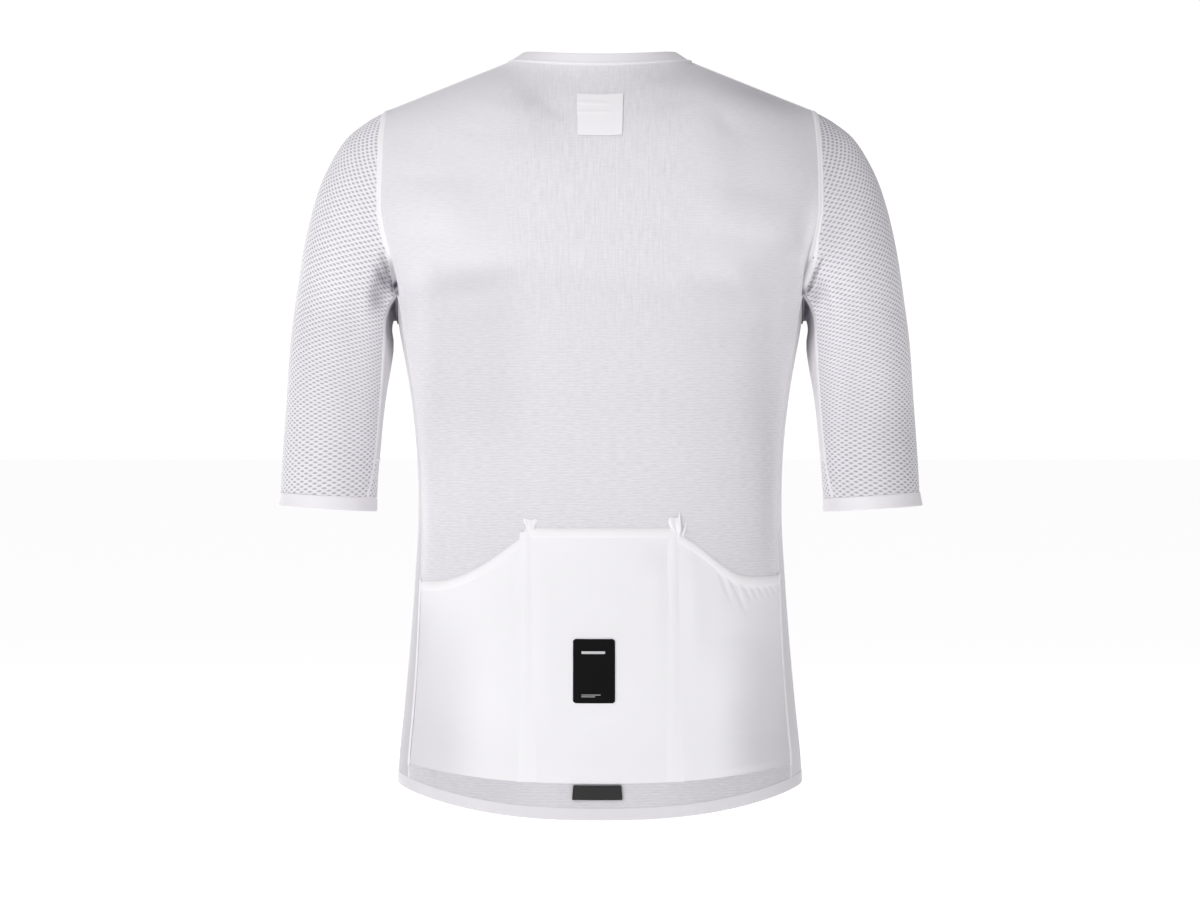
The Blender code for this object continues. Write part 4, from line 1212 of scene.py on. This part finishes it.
def addPocket(name, own):
    # the panel from its foot to the mouth band, lying on the back, and the band above it
    s = pocketSet
    column = np.linspace(*own["columns"])
    tops = s["centreMouth"] + 0 * column if name == "centre" else mouthHeight(np.abs(column), name)
    across = np.sin(np.pi * (column - column[0]) / (column[-1] - column[0]))
    foot = pocketFoot(np.abs(column))
    split = tops - s["band"]
    rise = np.linspace(0, 1, own["rows"])[:, None]
    height = foot + (split - foot) * rise
    base = onBack(column + 0 * height, height)
    ease = s["ease"] * across * rise**2 + foldHeight(base, own["sag"]) * rimFade(base, 5)
    if name in gatherSet:
        ease = ease + gathers(np.abs(base[..., 0]), split - height, *gatherSet[name])
    panel = base + normalsOf(base) * (s["rest"] + np.maximum(ease, s["leastEase"]))[..., None]
    # painted shade on the pockets' outer parts, at their foot and along the table's lines
    x, z = np.abs(panel[..., 0]), panel[..., 2]
    hollow = own["shade"] * ramp(x, *s["outer"]) * ramp(z, s["shadeTop"], own["span"])
    hollow = hollow + s["footShade"] * ramp(z, *s["footShadeAt"]) + foldHeight(panel, pocketPaintedShadeLines)
    title, look = name.capitalize(), knitPocket
    makeShell("pocket" + title, panel, normalsOf(panel), look, s["wall"], None, hollow, "pocket_" + name)
    height = split + (tops - split) * bandRows
    base = onBack(column + 0 * height, height)
    ease = s["ease"] * across * (1 - bandRows**4) + s["crown"] * np.sin(np.pi * bandRows) ** 0.7
    # the upper edge lies flush on the back
    ease = ease - (s["rest"] - s["bandRest"]) * ramp(bandRows, *s["flush"])
    band = base + normalsOf(base) * (s["rest"] + ease)[..., None]
    way = {"node": "pocket_band_" + name, "high": True}
    makeShell("mouthBand" + title, band, normalsOf(band), mouthWhite, s["bandWall"], **way)


for name, own in pocketForms.items():
    addPocket(name, own)
print("pockets made")


# seams: a strip that lies on the panels on both sides of its line
seamSet = {
    "widths": {
        "armhole": 0.0062,
        "underBack": 0.0046,
        "underFront": 0.0046,
        "underFoot": 0.0026,
        "sideBack": 0.0030,
        "sideFront": 0.0030,
        "shoulder": 0.0050,
    },
    "height": 0.0006,
    "wall": 0.0005,
    "above": 0.00008,
    "sink": 0.00015,
    "lean": 0.35,
    "collar": 0.0030,
    "collarRise": 0.0022,
    "collarHeight": 0.0009,
    "division": 0.0120,
    "ridge": 0.0006,
}
pocketSideSet = {"lift": 0.0011, "out": 0.0010, "turn": 0.25, "width": 0.0042, "height": 0.0007}
# painted shade of the seams at the armpit, and where the right armhole seam puffs: pairs of a start and a
# span
armpitSet = {
    "behind": (0, 0.02),
    "creasePlace": (-0.8, 0.3),
    "crease": (-0.136, -0.008),
    "deep": (-0.134, -0.016),
    "most": 0.8,
    "foot": (-0.160, -0.012),
    "spot": (-0.1640, 0.0045),
    "puff": (-0.116, -0.020),
    "puffEnd": (-0.142, -0.026),
    "under": 0.5,
    "underEnd": (-0.180, -0.045),
}
armholeShade = {
    "Left": {"plain": 0.0, "deep": 0.5, "crease": 0.0, "spot": 1.0, "puff": 0.0},
    "Right": {"plain": 0.04, "deep": 0.16, "crease": 0.4, "spot": 0.0, "puff": 0.0022},
}
seamRows = np.linspace(-1, 1, 11)[:, None, None]


def addSeam(name, line, normal, toOne, toOther, width, height, look=seamWhite, ridge=False, hollow=None):
    # across the strip: half width along each panel, height * (1 - s^4) above the cloth; a soft ridge
    # follows (1 - s^2)^2 and sinks its edges a little into the cloth
    s, sink = seamRows, seamSet["sink"]
    lean = np.where(s < 0, toOne[None], toOther[None]) * np.abs(s)
    rise = (height + sink) * (1 - s**2) ** 2 - sink if ridge else height * (1 - s**4) + seamSet["above"]
    grid = line[None] + lean * width / 2 + normal[None] * rise
    uv = np.stack(np.broadcast_arrays(lengthAlong(line, 0)[None, :], s[..., 0] * np.mean(width) / 2), -1)
    # painted shade along the strip, if given
    shade = None if hollow is None else np.broadcast_to(hollow, (len(s), len(line)))
    makeShell(name, grid, unit(normal[None] + lean * seamSet["lean"]), look, seamSet["wall"], uv, shade)


def seamLines():
    # by seam: its line, the cloth's normals on it, and the next points on the panels on both sides
    back, front, side, cap, under, gusset = grids.values()
    frontLook, sideLook, capLook, underLook = (normals[key] for key in ("front", "side", "cap", "under"))

    def joined(*parts):  # a closed line
        return np.concatenate([*parts, parts[0][:1]])

    loop = joined(cap[0], under[0, 1:-1]), joined(capLook[0], underLook[0, 1:-1])
    body = joined(front[above:, -2], back[above:-1, -2][::-1], side[-2, 1:-1])
    lines = {"armhole": (*loop, body, joined(cap[1], under[1, 1:-1]))}
    for key, rim, inner in (("underBack", 0, 1), ("underFront", -1, -2)):
        line, inside = (np.concatenate([under[:, at], gusset[1:, at]]) for at in (rim, inner))
        lines[key] = (line, capLook[:, -1 - rim], inside, cap[:, -1 - inner])
    lines["underFoot"] = (under[-1], underLook[-1], under[-2], gusset[1])
    lines["sideBack"] = (side[:, 0], sideLook[:, 0], side[:, 1], back[: above + 1, -2])
    lines["sideFront"] = (side[:, -1], sideLook[:, -1], side[:, -2], front[: above + 1, -2])
    top = slice(neckCells, None)
    lines["shoulder"] = (front[-1, top], frontLook[-1, top], front[-2, top], back[-2, wide + neckCells :])
    return lines


def armholeSeamForm(line, other, width, s):
    # painted shade darkens the seam towards the armpit, on the right with a painted dark crease beside it and
    # on the left with a painted dark spot, and the seam is wider where the cloth puffs
    levels = armpitSet
    y, z = line[:, 1], line[:, 2]
    behind = ramp(y, *levels["behind"])
    place, reach = levels["creasePlace"]
    crease = np.exp(-(((seamRows[..., 0] - place) / reach) ** 2)) * ramp(z, *levels["crease"])
    shade = (s["plain"] + s["deep"] * ramp(z, *levels["deep"]) + s["crease"] * crease) * behind
    shade = np.maximum(shade, levels["most"] * ramp(z, *levels["foot"]))
    height, reach = levels["spot"]
    shade = np.maximum(shade, s["spot"] * np.exp(-(((z - height) / reach) ** 4)) * (y > 0))
    puff = (s["puff"] * ramp(z, *levels["puff"]) * (1 - ramp(z, *levels["puffEnd"])) * behind)[:, None]
    return line + other * puff, width + 2 * puff, shade


def addPocketSide(name, line, facing, one, other):
    # the side seam where it holds the pocket's edge, lifted over it
    s = pocketSideSet
    foot = pocketFoot(np.array(edge))
    held = (line[:, 2] > foot - 0.002) & (line[:, 2] < mouthForm[name.lower()][-1] + 0.001)
    line, facing, one, other = (part[held] for part in (line, facing, one, other))
    line = line + facing * s["lift"] + other * s["out"]
    other = unit(other + facing * s["turn"])
    addSeam("pocketSideSeam" + name, line, facing, one, other, s["width"], s["height"])


def addSideSeams(name):  # all seams of the left or the right half
    for key, parts in seamLines().items():
        line, facing, inside, outside = (mirrored(part) if name == "Right" else part for part in parts)
        one, other = unit(inside - line), unit(outside - line)
        width, shade = seamSet["widths"][key], None
        if key == "sideBack":
            addPocketSide(name, line, facing, one, other)
        if key == "armhole":
            line, width, shade = armholeSeamForm(line, other, width, armholeShade[name])
        # painted shade on the underarm seams near the armpit
        if key in ("underBack", "underFront"):
            shade = armpitSet["under"] * (1 - ramp(line[:, 2], *armpitSet["underEnd"]))
        look = seamPale if key.startswith("side") else seamWhite
        addSeam(f"{key}Seam{name}", line, facing, one, other, width, seamSet["height"], look, hollow=shade)


def addDivisionSeam(name, sign):  # a ridge between two pockets that softens and widens downwards
    rows = 90
    mouth = mouthForm[name.lower()][0] + 0.003
    foot = pocketFoot(np.array(division))
    height = np.linspace(foot, mouth - 0.002, rows)
    at, out = (onBack(np.full(rows, sign * division + step), height) for step in (0, 0.1))
    across = unit(out - at)
    normal = unit(np.cross(across, np.gradient(at, axis=0)))
    normal = normal * np.sign(normal[:, 1:2])
    fade = ramp(height, foot, mouth - foot)[:, None]
    width = seamSet["division"] * (1.5 - 0.5 * fade)
    ridge = seamSet["ridge"] * (0.45 + 0.55 * fade)
    line = at + normal * pocketSet["rest"]
    addSeam("divisionSeam" + name, line, normal, -across, across, width, ridge, knitPocket, True)


def addCollarSeam(s):  # a narrow piping at the collar's foot
    up = unit(collar[1] - collar[0])
    line = collar[0] + up * s["collarRise"]
    addSeam("collarSeam", line, collarNormal[0], up, -up, s["collar"], s["collarHeight"])


addSideSeams("Left")
addSideSeams("Right")
addCollarSeam(seamSet)
addDivisionSeam("Left", 1)
addDivisionSeam("Right", -1)
print("seams made")


# tacks: the cloth pinched into an hour-glass above the mouth at each pocket division
tackSet = {"foot": -0.3975, "rise": 0.0225, "wall": 0.0006, "rest": 0.0011, "rim": 0.0003, "sink": 0.0007}
waistForms = {
    "left": table(
        "rise middle half lift",
        (0.00, 0.0650, 0.0072, 0.6),
        (0.35, 0.0636, 0.0064, 0.6),
        (0.52, 0.0626, 0.0046, 0.7),
        (0.65, 0.0623, 0.0042, 0.7),
        (0.82, 0.0624, 0.0060, 0.5),
        (1.00, 0.0626, 0.0067, 0.3),
    ),
    "right": table(
        "rise middle half lift",
        (0.00, 0.0688, 0.0070, 0.6),
        (0.35, 0.0700, 0.0066, 0.6),
        (0.50, 0.0706, 0.0066, 0.8),
        (0.62, 0.0703, 0.0076, 0.8),
        (0.80, 0.0700, 0.0088, 0.6),
        (1.00, 0.0700, 0.0088, 0.4),
    ),
}
outlineForms = {
    "left": table(
        "place top fold",
        (-1.00, -0.3770, 0.0003),
        (-0.70, -0.3763, 0.0010),
        (-0.35, -0.3768, 0.0005),
        (0.00, -0.3771, 0.0010),
        (0.40, -0.3767, 0.0005),
        (0.75, -0.3760, 0.0010),
        (1.00, -0.3766, 0.0003),
    ),
    "right": table(
        "place top fold",
        (-1.00, -0.3770, 0.0004),
        (-0.72, -0.3745, 0.0016),
        (-0.35, -0.3753, 0.0009),
        (0.00, -0.3745, 0.0022),
        (0.22, -0.3706, 0.0026),
        (0.38, -0.3850, 0.0004),
        (0.56, -0.3880, 0.0002),
        (0.76, -0.3792, 0.0014),
        (1.00, -0.3806, 0.0003),
    ),
}


def addTack(name, sign):  # rows from under the mouth band up to the pinched outline, columns across the waist
    s, waist, outline = tackSet, waistForms[name], outlineForms[name]
    place = np.linspace(-1, 1, 41)[None, :]
    rise = np.linspace(0, 1, 25)[:, None]
    top, fold = (smooth(place, outline["place"], outline[key]) for key in ("top", "fold"))
    height = s["foot"] + (top - s["foot"]) * rise
    level = (height - s["foot"]) / s["rise"]
    middle, half, lift = (smooth(level, waist["rise"], waist[key]) for key in ("middle", "half", "lift"))
    base = torso(height, turnAtReach(height, middle + place * half)) * np.array([sign, 1, 1])
    # its rim lies on the back and its foot goes under the mouth band
    rest = s["rim"] + (s["rest"] - s["rim"]) * (1 - place**4) * ramp(rise, 1, -0.3)
    under = ramp(height, pocketSet["centreMouth"] - 0.0015, -0.003) * s["sink"]
    grid = base + normalsOf(base) * (rest + fold * lift * soft(rise * 4) - under)[..., None]
    node = "pocket_tack_" + name
    makeShell("tack" + name.capitalize(), grid, normalsOf(grid), tackWhite, s["wall"], node=node, high=True)


addTack("left", 1)
addTack("right", -1)


def sample(grid, row, column):  # reads a grid between its points
    low = np.clip(np.floor(row).astype(int), 0, grid.shape[0] - 2)
    left = np.clip(np.floor(column).astype(int), 0, grid.shape[1] - 2)
    a, b = (row - low)[..., None], (column - left)[..., None]
    first, second = (grid[at, left] * (1 - b) + grid[at, left + 1] * b for at in (low, low + 1))
    return first * (1 - a) + second * a


def patchOutline(halfWidth, middle, top, foot, corner, splay, count):
    # an oblong grid whose rows narrow near the corners by a quarter circle and widen to the foot by splay
    z = np.linspace(foot, top, count)[:, None]
    deep = np.minimum(z - foot, top - z)
    tuck = corner - np.sqrt(np.maximum(corner**2 - np.maximum(corner - deep, 0) ** 2, 0))
    reach = halfWidth * (1 + splay * (top - z) / (top - foot))
    x = middle + (reach - tuck) * np.linspace(-1, 1, count)[None, :]
    return x, z + 0 * x


# half width, middle, top, foot, corner, lift, wall, look and node; the bars stand where a label carries
# print
patchSet = {
    "neckPatch": (0.0203, 0.0, 0.0050, -0.0336, 0.0006, 0.0006, 0.0006, patchWhite, "neck_patch"),
    "pocketLabel": (0.0187, 0.0053, -0.4835, -0.5404, 0.0022, 0.0018, 0.0006, labelBlack, "pocket_label"),
    "labelEdge": (0.0195, 0.0053, -0.4827, -0.5412, 0.0027, 0.0014, 0.0004, patchWhite, None),
    "labelBar": (0.0105, 0.0060, -0.4945, -0.4968, 0.0004, 0.0025, 0.0001, labelGrey, None),
    "labelLineOne": (0.0085, 0.0080, -0.5328, -0.5333, 0.0001, 0.0025, 0.0001, labelGrey, None),
    "labelLineTwo": (0.0060, 0.0105, -0.5344, -0.5349, 0.0001, 0.0025, 0.0001, labelGrey, None),
    "hemTab": (0.0214, 0.0024, -0.6130, -0.6262, 0.0008, 0.0010, 0.0012, tabGrey, "hem_tab"),
}
splaySet = {"hemTab": 0.05}


def wrinkles(name, x, z):  # small ridges in the neck patch and the tab
    if name == "neckPatch":
        upper = np.exp(-(((z + 0.0040 - 0.02 * x) / 0.0012) ** 2))
        lower = 0.8 * np.exp(-(((z + 0.0122 + 0.03 * x) / 0.0011) ** 2))
        return 0.0006 * (upper + lower) * ramp(x, -0.012, 0.008)
    if name == "hemTab":
        return 0.0006 * np.exp(-(((x + 0.6 * (z + 0.62) - 0.019) / 0.0022) ** 2))
    return 0 * x


def addPatches():  # each lies on the back's folded surface, lifted by its own height
    back, normal = folded("back", backFolds)
    for name, (*outline, lift, wall, look, node) in patchSet.items():
        x, z = patchOutline(*outline, splaySet.get(name, 0.0), 41 if node else 17)
        row = np.interp(z, back[:, wide, 2], np.arange(len(back)))
        near = back[int(np.median(row)), :, 0]
        column = np.interp(x, near, np.arange(len(near)))
        facing = unit(sample(normal, row, column))
        grid = sample(back, row, column) + facing * (lift + wall + wrinkles(name, x, z))[..., None]
        makeShell(name, grid, facing, look, wall, node=node, low=True, high=True)


addPatches()
print("patches made")


# zip: tapes, coil teeth and the CAD slider and pull
zipSet = {
    "outer": 0.0062,
    "inner": 0.0008,
    "wall": 0.0010,
    "pitch": 0.0013,
    "first": 0.002,
    "aside": 0.0009,
    "tooth": (0.0026, 0.0012, 0.00075),
}


def zipPath():  # hem edge, front panel's edge, collar: points and directions
    turn = np.pi - turnAtReach(bodySet["hemFront"], bodySet["zipEdge"])
    foot = torso(bodySet["hemFront"], turn)[None]
    top = np.array([neck(neckZipTurn, level) for level in np.linspace(0, 1, 9)[1:]])
    line = np.concatenate([foot, grids["front"][:, 0], top]) * np.array([0.0, 1.0, 1.0])
    along = unit(np.gradient(line, axis=0))
    facing = np.cross(along, [-1.0, 0.0, 0.0])
    return line, along, facing * np.sign(-facing[:, 1:2])


def addZip():  # the two tapes, and a block of coil for each pitch along them, by turns left and right
    line, along, facing = zipPath()
    for name, sign in (("left", 1), ("right", -1)):
        reach = sign * np.linspace(zipSet["inner"], zipSet["outer"], 9)
        grid = points(reach[None, :], line[:, None, 1], line[:, None, 2])
        normal = np.broadcast_to(facing[:, None, :], grid.shape)
        node = "zip_tape_" + name
        makeShell("zipTape" + name.capitalize(), grid, normal, tapeWhite, zipSet["wall"], node=node)
    run = lengthAlong(line, 0)
    until = np.interp(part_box("zip_slider")[0][2], line[:, 2], run)
    at = np.arange(zipSet["first"], until, zipSet["pitch"])
    paths = (line, facing, along)
    spot, out, up = (points(0, *(np.interp(at, run, path[:, axis]) for axis in (1, 2))) for path in paths)
    side = np.where(np.arange(len(at)) % 2 == 0, 1.0, -1.0)
    axes = np.stack([np.broadcast_to([1.0, 0, 0], spot.shape), unit(out), unit(up)], 1)
    centre = spot - axes[:, 1] * zipSet["wall"] / 2 + points(side * zipSet["aside"], 0, 0)
    corner = np.array([(x, y, z) for z in (-1, 1) for y in (-1, 1) for x in (-1, 1)]) * 0.5
    spots = centre[:, None] + (corner * zipSet["tooth"]) @ axes
    face = np.array([(0, 2, 3, 1), (4, 5, 7, 6), (0, 1, 5, 4), (2, 6, 7, 3), (0, 4, 6, 2), (1, 3, 7, 5)])
    faces = (face[None] + 8 * np.arange(len(at))[:, None, None]).reshape(-1, 4)
    mesh = bpy.data.meshes.new("zipTeeth")
    mesh.from_pydata(spots.reshape(-1, 3).tolist(), [], faces.tolist())
    # moulded nylon coil, smooth, which gives small bright points
    addPiece("zipTeeth", mesh, newMaterial("nylonCoilWhite", "#E8E7EA", Roughness=0.35))


addZip()
print("zip made")


# stage
stageSet = {"floor": -0.80, "size": 400.0, "white": "#E7E7E8", "glow": 0.78}


def makeStage(s):  # a wide floor that shows as plain white
    mesh = bpy.data.meshes.new("floor")
    half = s["size"] / 2
    spots = [(x, y, s["floor"]) for x, y in ((-half, -half), (half, -half), (half, half), (-half, half))]
    mesh.from_pydata(spots, [], [(0, 1, 2, 3)])
    # matt white paper that glows a little, which gives the white ground with no edge
    values = {"Roughness": 0.95, "Specular_IOR_Level": 0.0}
    values.update({"Emission_Color": (1, 1, 1, 1), "Emission_Strength": s["glow"]})
    mesh.materials.append(newMaterial("floorPaperWhite", s["white"], **values))
    addObject("floor", mesh)


makeStage(stageSet)
lightSet = {
    "key": {"at": (1.7, 2.9, 1.3), "size": 2.0, "power": 40.0},
    "top": {"at": (0.5, 0.8, 2.4), "size": 2.2, "power": 20.0},
    "front": {"at": (1.8, -3.0, 0.5), "size": 2.0, "power": 30.0},
}
lightAim = np.array([0.0, 0.0, -0.32])


def makeLights(lights):  # disks that all aim at the jersey's middle
    for name, s in lights.items():
        data = bpy.data.lights.new(name, "AREA")
        data.shape = "DISK"
        data.size = s["size"]
        data.energy = s["power"]
        made = addObject(name, data)
        made.location = s["at"]
        x, y, z = lightAim - np.array(s["at"])
        made.rotation_euler = (np.pi / 2 + np.arctan2(z, np.hypot(x, y)), 0, np.arctan2(-x, y))


makeLights(lightSet)
worldSet = {"seen": 1.05, "lit": 0.27, "white": "#FFFFFF", "tint": "#F5F2F7"}


def makeWorld(s):  # the eye sees white, and the cloth gets a dim tinted light
    world = bpy.data.worlds.new("studio")
    world.use_nodes = True
    tree = world.node_tree
    tree.nodes.clear()
    seen = addNode(tree, "Background", hexColour(s["white"]), s["seen"])
    lit = addNode(tree, "Background", hexColour(s["tint"]), s["lit"])
    mix = addNode(tree, "MixShader", addNode(tree, "LightPath", out="Is Camera Ray"), lit, seen)
    addNode(tree, "OutputWorld", mix)
    bpy.context.scene.world = world


makeWorld(worldSet)
bpy.context.scene.view_settings.view_transform = "Standard"
print("stage made")

for node, piece in pieces.items():
    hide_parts(node)


# die-cast zinc, polished to satin, which gives soft grey highlights
steel = newMaterial("zincDieCastSatin", "#C9CACD", Roughness=0.32, Metallic=1.0)
for node in ("zip_slider", "zip_pull"):
    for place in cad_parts[node].material_slots:
        place.material = steel
